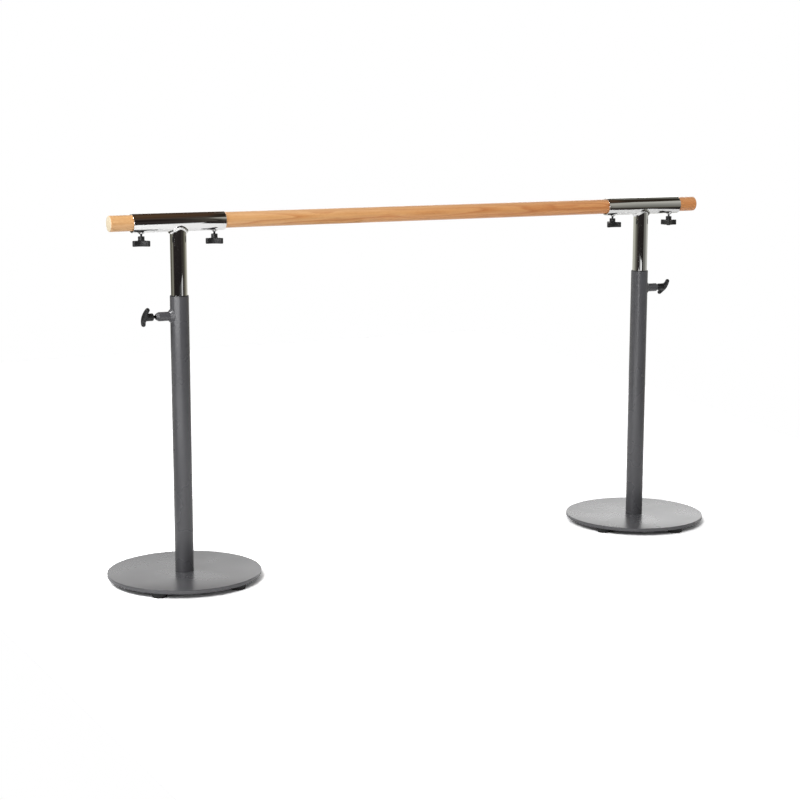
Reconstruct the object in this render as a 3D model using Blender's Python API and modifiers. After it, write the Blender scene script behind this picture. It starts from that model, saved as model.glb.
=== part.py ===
"""A free-standing pilates barre: two heavy round stands carry one wooden bar.

Each stand is a base plate on rubber feet and a painted column. A chrome post telescopes in the column,
and a side screw locks it. A chrome sleeve across the post's top holds the bar, and two screws from
below clamp it. Lengths are metres, +Z is up and X runs along the bar. The origin is on the floor,
midway between the stands.
"""

import math

import bmesh
import bpy
from mathutils import Matrix, Vector

MM = 0.001

# Gaps between neighbours
SEAT_GAP = 0.3 * MM
RUNNING_GAP = 0.25 * MM
CUT_MARGIN = 2 * MM

# Whole object
POST_FROM_BAR_END = 182.5 * MM
POST_SHOWN = 164 * MM
POST_HELD = 330 * MM

# Base plate
BASE_DIAMETER = 400 * MM
BASE_THICKNESS = 9.5 * MM
BASE_CHAMFER = 1 * MM

# Rubber feet, bonded under the plate
FOOT_COUNT = 5
FOOT_TURN = {"left": -6, "right": -28}
FOOT_INSET = 26 * MM
FOOT_HEIGHT = 14 * MM
FOOT_TOP_DIAMETER = 46 * MM
FOOT_BOTTOM_DIAMETER = 39 * MM
FOOT_EDGE = 1.5 * MM

# Column, with the plug in its foot and the bush in its top
COLUMN_DIAMETER = 48.3 * MM
COLUMN_WALL = 1.5 * MM
COLUMN_LENGTH = 718 * MM
PLUG_HEIGHT = 30 * MM
BUSH_LENGTH = 38 * MM
BUSH_FLANGE_THICKNESS = 1.5 * MM
BUSH_FLANGE_STEP = 0.3 * MM

# Bolt and washer that hold the column to the plate
BOLT_DIAMETER = 12 * MM
BOLT_HEAD_ACROSS_FLATS = 19 * MM
BOLT_HEAD_HEIGHT = 7.5 * MM
BOLT_REACH = 24 * MM
WASHER_DIAMETER = 36 * MM
WASHER_THICKNESS = 3 * MM

# Post and its glide
POST_DIAMETER = 42 * MM
POST_WALL = 1.5 * MM
GLIDE_FLANGE_THICKNESS = 6 * MM
GLIDE_SPIGOT_LENGTH = 20 * MM
GLIDE_VENT_DIAMETER = 12 * MM

# Sleeve across the post, and the bar in it
SLEEVE_DIAMETER = 48 * MM
SLEEVE_WALL = 2.5 * MM
SLEEVE_LENGTH = 247 * MM
BAR_DIAMETER = 40.5 * MM
BAR_LENGTH = 1780 * MM
BAR_EDGE = 1.5 * MM

# Column lock: boss, screw, pad and two-lobed knob
LOCK_DROP = 50 * MM
LOCK_BOSS_DIAMETER = 22 * MM
LOCK_BOSS_LENGTH = 40 * MM
LOCK_BOSS_CHAMFER_LENGTH = 6 * MM
LOCK_BOSS_TIP_DIAMETER = 15 * MM
LOCK_WELD = 3 * MM
LOCK_STUD_DIAMETER = 8 * MM
LOCK_STUD_SHOWN = {"left": 7.5 * MM, "right": 1.5 * MM}
LOCK_PAD_LENGTH = 6 * MM
LOCK_HUB_DIAMETER = 18 * MM
LOCK_HUB_LENGTH = 15 * MM
LOCK_BORE_DEPTH = 18 * MM
WING_TURN = {"left": 46, "right": 41}
WING_REACH = 26 * MM
WING_SWEEP = 2.2 * MM
WING_CENTRE_THICKNESS = 15.5 * MM
WING_TIP_DIAMETER = 10.2 * MM
WING_WIDTH = 10.4 * MM
WING_EDGE = 4.2 * MM

# Bar clamps: boss, screw, pad and three-lobed knob
CLAMP_FROM_SLEEVE_END = 25.5 * MM
CLAMP_BOSS_DIAMETER = 14 * MM
CLAMP_BOSS_TIP_DIAMETER = 10 * MM
CLAMP_BOSS_HEIGHT = 3.5 * MM
CLAMP_STUD_DIAMETER = 6 * MM
CLAMP_STUD_SHOWN = 5.5 * MM
CLAMP_PAD_LENGTH = 5 * MM
CLAMP_HUB_DIAMETER = 16.6 * MM
CLAMP_HUB_HEIGHT = 10.5 * MM
CLAMP_BORE_DEPTH = 16 * MM
LOBE_COUNT = 3
LOBE_TURN = {"left_outer": 71, "left_inner": 68, "right_inner": -34, "right_outer": -126}
LOBE_REACH = 19.8 * MM
LOBE_DIAMETER = 10.2 * MM
LOBE_WAIST = 9.5 * MM
LOBE_HEIGHT = 14.5 * MM
LOBE_EDGE = 1.5 * MM

# Sides round each turned piece, by its size
PLATE_SIDES = 60
TUBE_SIDES = 28
FOOT_SIDES = 24
SMALL_SIDES = 16
SCREW_SIDES = 10
CORNER_STEPS = 4
SHARP_ANGLE = math.radians(35)

# Radii and heights that follow from the sizes above
STAND_SPACING = BAR_LENGTH - 2 * POST_FROM_BAR_END
COLUMN_RADIUS = COLUMN_DIAMETER / 2
COLUMN_BORE = COLUMN_RADIUS - COLUMN_WALL
POST_RADIUS = POST_DIAMETER / 2
POST_BORE = POST_RADIUS - POST_WALL
SLEEVE_RADIUS = SLEEVE_DIAMETER / 2
SLEEVE_BORE = SLEEVE_RADIUS - SLEEVE_WALL
BAR_RADIUS = BAR_DIAMETER / 2
FOOT_CIRCLE = BASE_DIAMETER / 2 - FOOT_INSET
PLATE_BOTTOM = FOOT_HEIGHT + SEAT_GAP
PLATE_TOP = PLATE_BOTTOM + BASE_THICKNESS
COLUMN_FOOT = PLATE_TOP + SEAT_GAP
COLUMN_TOP = COLUMN_FOOT + COLUMN_LENGTH
LOCK_HEIGHT = COLUMN_TOP - LOCK_DROP
SLEEVE_HEIGHT = COLUMN_TOP + POST_SHOWN + SLEEVE_RADIUS
BAR_HEIGHT = SLEEVE_HEIGHT + SLEEVE_BORE - BAR_RADIUS - SEAT_GAP
CLAMP_OFFSET = SLEEVE_LENGTH / 2 - CLAMP_FROM_SLEEVE_END

TO_X = Matrix.Rotation(math.radians(90), 4, "Y")
HALF_TURN = math.radians(180)


def clear_scene():
    for obj in list(bpy.data.objects):
        bpy.data.objects.remove(obj, do_unlink=True)


def new_collection(name):
    collection = bpy.data.collections.new(name)
    bpy.context.scene.collection.children.link(collection)
    return collection


clear_scene()
PARTS = new_collection("pilates_barre")
CUTTERS = new_collection("cutters")


def finish(name, colour, roughness, metallic):
    """A material whose base colour is given as sRGB."""
    material = bpy.data.materials.new(name)
    material.use_nodes = True
    shader = material.node_tree.nodes["Principled BSDF"]
    linear = [(c / 12.92 if c <= 0.04045 else ((c + 0.055) / 1.055) ** 2.4) for c in colour]
    shader.inputs["Base Color"].default_value = (*linear, 1)
    shader.inputs["Roughness"].default_value = roughness
    shader.inputs["Metallic"].default_value = metallic
    material.diffuse_color = (*linear, 1)
    return material


CHARCOAL = finish("charcoal_powder_coat", (0.36, 0.36, 0.38), 0.4, 0)
CHROME = finish("chrome_plate", (0.86, 0.86, 0.87), 0.06, 1)
WOOD = finish("lacquered_beech", (0.87, 0.65, 0.43), 0.35, 0)
KNOB_PLASTIC = finish("black_knob_plastic", (0.12, 0.12, 0.12), 0.5, 0)
GUIDE_PLASTIC = finish("dark_guide_plastic", (0.1, 0.1, 0.1), 0.55, 0)
RUBBER = finish("black_rubber", (0.09, 0.09, 0.09), 0.8, 0)
ZINC = finish("zinc_plated_steel", (0.72, 0.73, 0.74), 0.35, 1)
NYLON = finish("natural_nylon", (0.87, 0.85, 0.8), 0.5, 0)


def helper(name, mesh):
    """An object for a cutter, or for a blank that becomes a part's mesh."""
    obj = bpy.data.objects.new(name, mesh)
    obj.hide_render = True
    obj.display_type = "WIRE"
    CUTTERS.objects.link(obj)
    return obj


def turned(name, profile, sides, ring=False):
    """A shape turned about Z from (radius, height) points that run down its outer side."""
    edges = [(i, i + 1) for i in range(len(profile) - 1)]
    if ring:
        edges.append((len(profile) - 1, 0))
    mesh = bpy.data.meshes.new(name)
    mesh.from_pydata([(radius, 0, height) for radius, height in profile], edges, [])
    obj = helper(name, mesh)
    screw = obj.modifiers.new("turn", "SCREW")
    screw.steps = sides
    screw.render_steps = sides
    screw.use_merge_vertices = True
    screw.merge_threshold = 0.00001
    return obj


def rod(name, radius, low, high, sides):
    return turned(name, [(0, high), (radius, high), (radius, low), (0, low)], sides)


def tube(name, radius, bore, low, high, sides):
    return turned(name, [(radius, high), (radius, low), (bore, low), (bore, high)], sides, ring=True)


def evaluated_mesh(obj):
    graph = bpy.context.evaluated_depsgraph_get()
    return bpy.data.meshes.new_from_object(obj.evaluated_get(graph))


def lay_along_x(obj):
    obj.matrix_world = TO_X @ obj.matrix_world
    return obj


def boolean(obj, other, operation):
    modifier = obj.modifiers.new(operation.lower(), "BOOLEAN")
    modifier.operation = operation
    modifier.object = other
    modifier.solver = "EXACT"


def cut(obj, *cutters):
    for cutter in cutters:
        boolean(obj, cutter, "DIFFERENCE")
    return obj


def join(obj, other):
    boolean(obj, other, "UNION")
    return obj


def close_seams(mesh):
    """Joins the caps of an extruded outline to its sides, and turns all faces outwards."""
    working = bmesh.new()
    working.from_mesh(mesh)
    bmesh.ops.remove_doubles(working, verts=working.verts, dist=0.00001)
    bmesh.ops.recalc_face_normals(working, faces=working.faces)
    working.to_mesh(mesh)
    working.free()


def extruded(name, outline, thickness, edge, edge_steps):
    """A flat outline in the XY plane, thickened about that plane, with rounded rims."""
    curve = bpy.data.curves.new(name, "CURVE")
    curve.dimensions = "2D"
    curve.fill_mode = "BOTH"
    curve.extrude = thickness / 2
    spline = curve.splines.new("POLY")
    spline.points.add(len(outline) - 1)
    for point, (x, y) in zip(spline.points, outline):
        point.co = (x, y, 0, 1)
    spline.use_cyclic_u = True
    flat = helper(name + "_outline", curve)
    mesh = evaluated_mesh(flat)
    bpy.data.objects.remove(flat)
    close_seams(mesh)
    obj = helper(name, mesh)
    bevel = obj.modifiers.new("bevel", "BEVEL")
    bevel.width = edge
    bevel.segments = edge_steps
    bevel.limit_method = "ANGLE"
    bevel.angle_limit = math.radians(60)
    return obj


def arc(centre, radius, start, end, steps):
    """Points of an arc, both ends included, with the angles in radians."""
    angles = [start + (end - start) * i / steps for i in range(steps + 1)]
    return [(centre[0] + radius * math.cos(a), centre[1] + radius * math.sin(a)) for a in angles]


def finished_mesh(obj):
    """The shape that a blank's modifiers make, in its world place, smooth with its sharp edges kept."""
    bpy.context.view_layer.update()
    mesh = evaluated_mesh(obj)
    mesh.transform(obj.matrix_world)
    mesh.shade_smooth()
    mesh.set_sharp_from_angle(angle=SHARP_ANGLE)
    return mesh


def empty(name, location, turn=0, parent=None):
    obj = bpy.data.objects.new(name, None)
    obj.empty_display_size = 0.05
    obj.location = location
    obj.rotation_euler = (0, 0, turn)
    obj.parent = parent
    PARTS.objects.link(obj)
    return obj


def place(name, mesh, material, parent, location=(0, 0, 0), rotation=(0, 0, 0)):
    obj = bpy.data.objects.new(name, mesh)
    obj.location = location
    obj.rotation_euler = rotation
    obj.parent = parent
    if not mesh.materials:
        mesh.materials.append(material)
    PARTS.objects.link(obj)
    return obj


def foot_spots():
    """Where the feet stand under a plate, as places about its centre."""
    step = 2 * math.pi / FOOT_COUNT
    angles = [-math.pi / 2 + step * (i - 0.5) for i in range(FOOT_COUNT)]
    return [Vector((FOOT_CIRCLE * math.cos(a), FOOT_CIRCLE * math.sin(a), 0)) for a in angles]


def base_plate_mesh():
    radius = BASE_DIAMETER / 2
    top, rim = BASE_THICKNESS, BASE_CHAMFER
    profile = [(0, top), (radius - rim, top), (radius, top - rim), (radius, rim), (radius - rim, 0), (0, 0)]
    plate = turned("base_plate_blank", profile, PLATE_SIDES)
    bolt_hole = rod("bolt_hole", BOLT_DIAMETER / 2 + SEAT_GAP, -CUT_MARGIN, top + CUT_MARGIN, SMALL_SIDES)
    return finished_mesh(cut(plate, bolt_hole))


def foot_mesh():
    """A tapered foot with a rounded lower edge."""
    top, bottom = FOOT_TOP_DIAMETER / 2, FOOT_BOTTOM_DIAMETER / 2
    profile = [(0, FOOT_HEIGHT), (top, FOOT_HEIGHT), (bottom, FOOT_EDGE), (bottom - FOOT_EDGE, 0), (0, 0)]
    return finished_mesh(turned("foot_blank", profile, FOOT_SIDES))


def base_bolt_mesh():
    """A hexagon head under the washer, and a shank up through the plate into the plug."""
    seat = PLATE_BOTTOM - 2 * SEAT_GAP - WASHER_THICKNESS
    head = rod("base_bolt_blank", BOLT_HEAD_ACROSS_FLATS / math.sqrt(3), seat - BOLT_HEAD_HEIGHT, seat, 6)
    low, high = seat - BOLT_HEAD_HEIGHT / 2, PLATE_TOP + BOLT_REACH
    shank = rod("base_bolt_shank", BOLT_DIAMETER / 2, low, high, SMALL_SIDES)
    return finished_mesh(join(head, shank))


def base_washer_mesh():
    top = PLATE_BOTTOM - SEAT_GAP
    bore = BOLT_DIAMETER / 2 + SEAT_GAP
    washer = tube("washer_blank", WASHER_DIAMETER / 2, bore, top - WASHER_THICKNESS, top, SMALL_SIDES)
    return finished_mesh(washer)


def column_mesh():
    column = tube("column_blank", COLUMN_RADIUS, COLUMN_BORE, COLUMN_FOOT, COLUMN_TOP, TUBE_SIDES)
    hole_radius = LOCK_STUD_DIAMETER / 2 + RUNNING_GAP
    hole = rod("lock_hole", hole_radius, POST_BORE, COLUMN_RADIUS + CUT_MARGIN, SMALL_SIDES)
    lay_along_x(hole)
    hole.location.z = LOCK_HEIGHT
    return finished_mesh(cut(column, hole))


def column_plug_mesh():
    bore = BOLT_DIAMETER / 2 + SEAT_GAP
    radius = COLUMN_BORE - SEAT_GAP
    return finished_mesh(tube("plug_blank", radius, bore, COLUMN_FOOT, COLUMN_FOOT + PLUG_HEIGHT, TUBE_SIDES))


def column_bush_mesh():
    """A thin guide with a flange that lies on the column's end."""
    outer, bore = COLUMN_BORE - SEAT_GAP, POST_RADIUS + RUNNING_GAP
    flange = COLUMN_RADIUS - BUSH_FLANGE_STEP
    seat = COLUMN_TOP + SEAT_GAP
    top, bottom = seat + BUSH_FLANGE_THICKNESS, seat - BUSH_LENGTH
    profile = [(flange, top), (flange, seat), (outer, seat), (outer, bottom), (bore, bottom), (bore, top)]
    return finished_mesh(turned("bush_blank", profile, TUBE_SIDES, ring=True))


def post_mesh():
    """The post, whose top end is cut to the sleeve's round underside."""
    post = tube("post_blank", POST_RADIUS, POST_BORE, COLUMN_TOP - POST_HELD, SLEEVE_HEIGHT, TUBE_SIDES)
    reach = POST_RADIUS + CUT_MARGIN
    saddle = lay_along_x(rod("post_saddle", SLEEVE_RADIUS + SEAT_GAP, -reach, reach, TUBE_SIDES))
    saddle.location.z = SLEEVE_HEIGHT
    return finished_mesh(cut(post, saddle))


def post_glide_mesh():
    flange, spigot = COLUMN_BORE - RUNNING_GAP, POST_BORE - RUNNING_GAP
    vent = GLIDE_VENT_DIAMETER / 2
    seat = COLUMN_TOP - POST_HELD - SEAT_GAP
    top, bottom = seat + GLIDE_SPIGOT_LENGTH, seat - GLIDE_FLANGE_THICKNESS
    profile = [(spigot, top), (spigot, seat), (flange, seat), (flange, bottom), (vent, bottom), (vent, top)]
    return finished_mesh(turned("glide_blank", profile, TUBE_SIDES, ring=True))


def sleeve_mesh():
    """The sleeve along X, with a hole below for each clamp."""
    half = SLEEVE_LENGTH / 2
    sleeve = lay_along_x(tube("sleeve_blank", SLEEVE_RADIUS, SLEEVE_BORE, -half, half, TUBE_SIDES))
    hole_radius = CLAMP_STUD_DIAMETER / 2 + RUNNING_GAP
    for x in (-CLAMP_OFFSET, CLAMP_OFFSET):
        hole = rod("clamp_hole", hole_radius, -SLEEVE_RADIUS - CUT_MARGIN, -SLEEVE_BORE / 2, SMALL_SIDES)
        hole.location.x = x
        cut(sleeve, hole)
    return finished_mesh(sleeve)


def bar_mesh():
    half, edge = BAR_LENGTH / 2, BAR_EDGE
    profile = [
        (0, half),
        (BAR_RADIUS - edge, half),
        (BAR_RADIUS, half - edge),
        (BAR_RADIUS, edge - half),
        (BAR_RADIUS - edge, -half),
        (0, -half),
    ]
    return finished_mesh(lay_along_x(turned("bar_blank", profile, TUBE_SIDES)))


def lock_boss_mesh():
    """The boss along X from the column's axis, flared at its weld and cut to the column's side."""
    radius, bore = LOCK_BOSS_DIAMETER / 2, LOCK_STUD_DIAMETER / 2 + RUNNING_GAP
    tip = COLUMN_RADIUS + LOCK_BOSS_LENGTH
    shoulder = tip - LOCK_BOSS_CHAMFER_LENGTH
    root = math.sqrt(COLUMN_RADIUS**2 - (radius + LOCK_WELD) ** 2) - CUT_MARGIN
    profile = [
        (LOCK_BOSS_TIP_DIAMETER / 2, tip),
        (radius, shoulder),
        (radius, COLUMN_RADIUS + LOCK_WELD),
        (radius + LOCK_WELD, COLUMN_RADIUS - LOCK_WELD),
        (radius + LOCK_WELD, root),
        (bore, root),
        (bore, tip),
    ]
    boss = lay_along_x(turned("lock_boss_blank", profile, SMALL_SIDES, ring=True))
    saddle = rod("boss_saddle", COLUMN_RADIUS + SEAT_GAP, -LOCK_BOSS_DIAMETER, LOCK_BOSS_DIAMETER, TUBE_SIDES)
    return finished_mesh(cut(boss, saddle))


def lock_pad_mesh():
    start = POST_RADIUS + SEAT_GAP
    pad = rod("lock_pad_blank", LOCK_STUD_DIAMETER / 2, start, start + LOCK_PAD_LENGTH, SCREW_SIDES)
    return finished_mesh(lay_along_x(pad))


def lock_hub_start(side):
    return COLUMN_RADIUS + LOCK_BOSS_LENGTH + LOCK_STUD_SHOWN[side]


def lock_stud_mesh(side):
    start = POST_RADIUS + LOCK_PAD_LENGTH + 2 * SEAT_GAP
    end = lock_hub_start(side) + LOCK_BORE_DEPTH - SEAT_GAP
    return finished_mesh(lay_along_x(rod("lock_stud_blank", LOCK_STUD_DIAMETER / 2, start, end, SCREW_SIDES)))


def wing_outline():
    """The wing seen from its edge: a thick bow whose tips sweep back, with its crown at the origin."""
    bow = (WING_REACH**2 + WING_SWEEP**2) / (2 * WING_SWEEP)
    spread = math.asin(WING_REACH / bow)
    middle, tip = WING_CENTRE_THICKNESS / 2, WING_TIP_DIAMETER / 2
    steps = 2 * CORNER_STEPS

    def bow_point(share, side):
        half = middle + (tip - middle) * abs(share)
        radius = bow + side * half
        return radius * math.sin(spread * share), radius * math.cos(spread * share) - bow - middle

    outer = [bow_point(1 - 2 * i / steps, 1) for i in range(1, steps)]
    inner = [bow_point(2 * i / steps - 1, -1) for i in range(1, steps)]
    ends = []
    for sign in (-1, 1):
        centre = (sign * WING_REACH, -WING_SWEEP - middle)
        start = math.pi / 2 - sign * spread if sign < 0 else -math.pi / 2 - spread
        ends.append(arc(centre, tip, start, start + math.pi, CORNER_STEPS))
    return outer + ends[0] + inner + ends[1]


def lock_knob_mesh(side):
    """Domed hub and wing about X: the hub starts past the boss, and the wing's crown is the outer face."""
    start = lock_hub_start(side)
    radius = LOCK_HUB_DIAMETER / 2
    bore = LOCK_STUD_DIAMETER / 2 + SEAT_GAP
    crown = start + LOCK_HUB_LENGTH + WING_CENTRE_THICKNESS
    knob = extruded("lock_knob_blank", wing_outline(), WING_WIDTH, WING_EDGE, 2)
    knob.matrix_world = Matrix.Translation((0, 0, crown)) @ Matrix.Rotation(math.radians(90), 4, "X")
    shoulder = crown - WING_CENTRE_THICKNESS / 2
    rise = crown - shoulder - CUT_MARGIN
    dome = [(radius * x, shoulder + rise * y) for x, y in arc((0, 0), 1, math.pi / 2, 0, CORNER_STEPS)]
    dome[0] = (0, shoulder + rise)
    hub = turned("lock_hub", dome + [(radius, start), (0, start)], SMALL_SIDES)
    hole = rod("lock_knob_bore", bore, start - CUT_MARGIN, start + LOCK_BORE_DEPTH, SCREW_SIDES)
    cut(join(knob, hub), hole)
    mesh = finished_mesh(knob)
    mesh.transform(TO_X)
    return mesh


def clamp_boss_mesh():
    """A small threaded boss below the sleeve's axis, cut to its round underside."""
    radius, tip = CLAMP_BOSS_DIAMETER / 2, CLAMP_BOSS_TIP_DIAMETER / 2
    bore = CLAMP_STUD_DIAMETER / 2 + RUNNING_GAP
    root = -math.sqrt(SLEEVE_RADIUS**2 - radius**2) + CUT_MARGIN
    bottom = -SLEEVE_RADIUS - CLAMP_BOSS_HEIGHT
    profile = [(radius, root), (radius, -SLEEVE_RADIUS), (tip, bottom), (bore, bottom), (bore, root)]
    boss = turned("clamp_boss_blank", profile, SMALL_SIDES, ring=True)
    reach = CLAMP_BOSS_DIAMETER
    saddle = lay_along_x(rod("clamp_saddle", SLEEVE_RADIUS + SEAT_GAP, -reach, reach, TUBE_SIDES))
    return finished_mesh(cut(boss, saddle))


def clamp_pad_top():
    """Where a clamp's pad meets the bar, as a height about the sleeve's axis."""
    return BAR_HEIGHT - SLEEVE_HEIGHT - BAR_RADIUS - SEAT_GAP


def clamp_hub_top():
    return -SLEEVE_RADIUS - CLAMP_BOSS_HEIGHT - CLAMP_STUD_SHOWN


def clamp_pad_mesh():
    top = clamp_pad_top()
    pad = rod("clamp_pad_blank", CLAMP_STUD_DIAMETER / 2, top - CLAMP_PAD_LENGTH, top, SCREW_SIDES)
    return finished_mesh(pad)


def clamp_stud_mesh():
    top = clamp_pad_top() - CLAMP_PAD_LENGTH - SEAT_GAP
    bottom = clamp_hub_top() - CLAMP_BORE_DEPTH + SEAT_GAP
    return finished_mesh(rod("clamp_stud_blank", CLAMP_STUD_DIAMETER / 2, bottom, top, SCREW_SIDES))


def lobe_outline():
    """Round lobes about the origin, joined by hollows that touch them smoothly and reach the waist."""
    reach, radius = LOBE_REACH, LOBE_DIAMETER / 2
    half_step = math.pi / LOBE_COUNT
    slack = radius - LOBE_WAIST
    hollow_reach = (reach**2 - slack**2) / (2 * (reach * math.cos(half_step) + slack))
    hollow_radius = hollow_reach - LOBE_WAIST
    to_hollow = (hollow_reach * math.cos(half_step) - reach, hollow_reach * math.sin(half_step))
    meet = math.atan2(to_hollow[1], to_hollow[0])
    points = []
    for i in range(LOBE_COUNT):
        lobe = 2 * half_step * i
        centre = (reach * math.cos(lobe), reach * math.sin(lobe))
        points += arc(centre, radius, lobe - meet, lobe + meet, 2 * CORNER_STEPS)
        between = lobe + half_step
        centre = (hollow_reach * math.cos(between), hollow_reach * math.sin(between))
        start, end = lobe + meet + math.pi, between * 2 - (lobe + meet + math.pi) + 2 * math.pi
        points += arc(centre, hollow_radius, start, end, CORNER_STEPS)[1:-1]
    return points


def clamp_knob_mesh():
    top = clamp_hub_top()
    lobes_top = top - CLAMP_HUB_HEIGHT
    middle = lobes_top - LOBE_HEIGHT / 2
    knob = extruded("clamp_knob_blank", lobe_outline(), LOBE_HEIGHT, LOBE_EDGE, 1)
    knob.location.z = middle
    hub = rod("clamp_hub", CLAMP_HUB_DIAMETER / 2, middle, top, SMALL_SIDES)
    bore = CLAMP_STUD_DIAMETER / 2 + SEAT_GAP
    hole = rod("clamp_knob_bore", bore, top - CLAMP_BORE_DEPTH, top + CUT_MARGIN, SCREW_SIDES)
    return finished_mesh(cut(join(knob, hub), hole))


def build_base(side, stand, meshes):
    """Plate, feet and bolt, turned together under the column."""
    turn = math.radians(FOOT_TURN[side])
    base = empty(f"base_axis_{side}", (0, 0, 0), turn, stand)
    place(f"base_plate_{side}", meshes["plate"], CHARCOAL, base, (0, 0, PLATE_BOTTOM))
    place(f"base_washer_{side}", meshes["washer"], ZINC, base)
    place(f"base_bolt_{side}", meshes["bolt"], ZINC, base)
    for letter, spot in zip("abcdefgh", foot_spots()):
        place(f"foot_{letter}_{side}", meshes["foot"], RUBBER, base, spot)


def build_column(side, stand, meshes):
    """Column and lock. The lock lies along the stand's own X, which points away from the bar's middle."""
    outward = HALF_TURN if side == "left" else 0
    column = empty(f"column_axis_{side}", (0, 0, 0), outward, stand)
    place(f"column_{side}", meshes["column"], CHARCOAL, column)
    place(f"column_plug_{side}", meshes["plug"], ZINC, column)
    place(f"column_bush_{side}", meshes["bush"], GUIDE_PLASTIC, column)
    lock = empty(f"lock_axis_{side}", (0, 0, LOCK_HEIGHT), 0, column)
    place(f"lock_boss_{side}", meshes["lock_boss"], CHARCOAL, lock)
    place(f"lock_pad_{side}", meshes["lock_pad"], NYLON, lock)
    place(f"lock_stud_{side}", lock_stud_mesh(side), ZINC, lock)
    towards_front = 1 if side == "left" else -1
    wing_turn = towards_front * (math.radians(WING_TURN[side]) - HALF_TURN / 2)
    place(f"lock_knob_{side}", lock_knob_mesh(side), KNOB_PLASTIC, lock, rotation=(wing_turn, 0, 0))


def build_tee(side, stand, meshes):
    """Post, glide and sleeve with its two clamps. The outer clamp is the one nearer the bar's end."""
    height = empty(f"post_axis_{side}", (0, 0, 0), 0, stand)
    place(f"post_{side}", meshes["post"], CHROME, height)
    place(f"post_glide_{side}", meshes["glide"], GUIDE_PLASTIC, height)
    sleeve = empty(f"sleeve_axis_{side}", (0, 0, SLEEVE_HEIGHT), 0, height)
    place(f"sleeve_{side}", meshes["sleeve"], CHROME, sleeve)
    outward = -1 if side == "left" else 1
    for where, sign in (("outer", outward), ("inner", -outward)):
        clamp = empty(f"clamp_axis_{where}_{side}", (sign * CLAMP_OFFSET, 0, 0), 0, sleeve)
        place(f"clamp_boss_{where}_{side}", meshes["clamp_boss"], CHROME, clamp)
        place(f"clamp_pad_{where}_{side}", meshes["clamp_pad"], NYLON, clamp)
        place(f"clamp_stud_{where}_{side}", meshes["clamp_stud"], ZINC, clamp)
        lobe_turn = (0, 0, math.radians(LOBE_TURN[f"{side}_{where}"]))
        place(f"clamp_knob_{where}_{side}", meshes["clamp_knob"], KNOB_PLASTIC, clamp, rotation=lobe_turn)


def build_all():
    meshes = {
        "plate": base_plate_mesh(),
        "foot": foot_mesh(),
        "bolt": base_bolt_mesh(),
        "washer": base_washer_mesh(),
        "column": column_mesh(),
        "plug": column_plug_mesh(),
        "bush": column_bush_mesh(),
        "post": post_mesh(),
        "glide": post_glide_mesh(),
        "sleeve": sleeve_mesh(),
        "lock_boss": lock_boss_mesh(),
        "lock_pad": lock_pad_mesh(),
        "clamp_boss": clamp_boss_mesh(),
        "clamp_pad": clamp_pad_mesh(),
        "clamp_stud": clamp_stud_mesh(),
        "clamp_knob": clamp_knob_mesh(),
    }
    for side, sign in (("left", -1), ("right", 1)):
        stand = empty(f"stand_axis_{side}", (sign * STAND_SPACING / 2, 0, 0))
        build_base(side, stand, meshes)
        build_column(side, stand, meshes)
        build_tee(side, stand, meshes)
    place("bar", bar_mesh(), WOOD, None, (0, 0, BAR_HEIGHT))


build_all()
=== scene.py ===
# %% [markdown]
# # A free-standing pilates barre
# Two round steel stands carry one beech bar. Each stand is a heavy base plate on rubber feet, a painted column, and a
# chrome T that telescopes in it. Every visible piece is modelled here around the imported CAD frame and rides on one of
# its bodies, so the whole thing still moves as the real one does.

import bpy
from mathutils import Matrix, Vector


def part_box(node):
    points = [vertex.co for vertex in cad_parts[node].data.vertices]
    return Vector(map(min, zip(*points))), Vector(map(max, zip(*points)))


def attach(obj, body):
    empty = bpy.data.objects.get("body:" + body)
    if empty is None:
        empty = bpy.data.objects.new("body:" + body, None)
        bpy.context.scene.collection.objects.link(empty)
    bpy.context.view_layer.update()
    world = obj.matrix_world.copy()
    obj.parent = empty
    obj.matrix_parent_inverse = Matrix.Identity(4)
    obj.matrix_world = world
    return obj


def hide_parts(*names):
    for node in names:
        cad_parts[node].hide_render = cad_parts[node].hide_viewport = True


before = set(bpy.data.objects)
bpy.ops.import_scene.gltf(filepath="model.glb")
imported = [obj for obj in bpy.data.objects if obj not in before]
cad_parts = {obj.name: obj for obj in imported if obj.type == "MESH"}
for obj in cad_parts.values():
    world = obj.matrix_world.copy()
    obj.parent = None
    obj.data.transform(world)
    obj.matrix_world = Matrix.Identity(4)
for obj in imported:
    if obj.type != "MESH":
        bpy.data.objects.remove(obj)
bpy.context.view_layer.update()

# %% Modules and units
import math

import bmesh
import bpy
from mathutils import Matrix, Vector

MM = 0.001
FULL_TURN = 2 * math.pi

# %% [markdown]
# ## Where things are
# The two stands are alike, so each piece is modelled once, about the stand's own axis and with the side screw
# pointing along +X. Copies then go to the right stand as they are, and to the left one turned by half a turn. The
# heights come from the CAD solids' boxes, so a piece can't drift away from the solid that it stands for.

# %% Places read from the frame
def middle(node, axis):
    low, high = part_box(node)
    return (low[axis] + high[axis]) / 2


STAND_X = {side: middle(f"column_{side}", 0) for side in ("left", "right")}
PLATE_BOTTOM, PLATE_TOP = (corner[2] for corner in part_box("base_plate_left"))
COLUMN_FOOT, COLUMN_TOP = (corner[2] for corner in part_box("column_left"))
BUSH_FOOT, BUSH_TOP = (corner[2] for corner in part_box("column_bush_left"))
POST_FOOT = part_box("post_left")[0][2]
LOCK_HEIGHT = middle("lock_stud_left", 2)
SLEEVE_HEIGHT = middle("sleeve_left", 2)
BAR_HEIGHT = middle("bar", 2)

STAND = {
    "left": Matrix.Translation((STAND_X["left"], 0, 0)) @ Matrix.Rotation(math.pi, 4, "Z"),
    "right": Matrix.Translation((STAND_X["right"], 0, 0)),
}
print("stands at", {side: round(x, 4) for side, x in STAND_X.items()}, "bar at", round(BAR_HEIGHT, 4))

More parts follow.
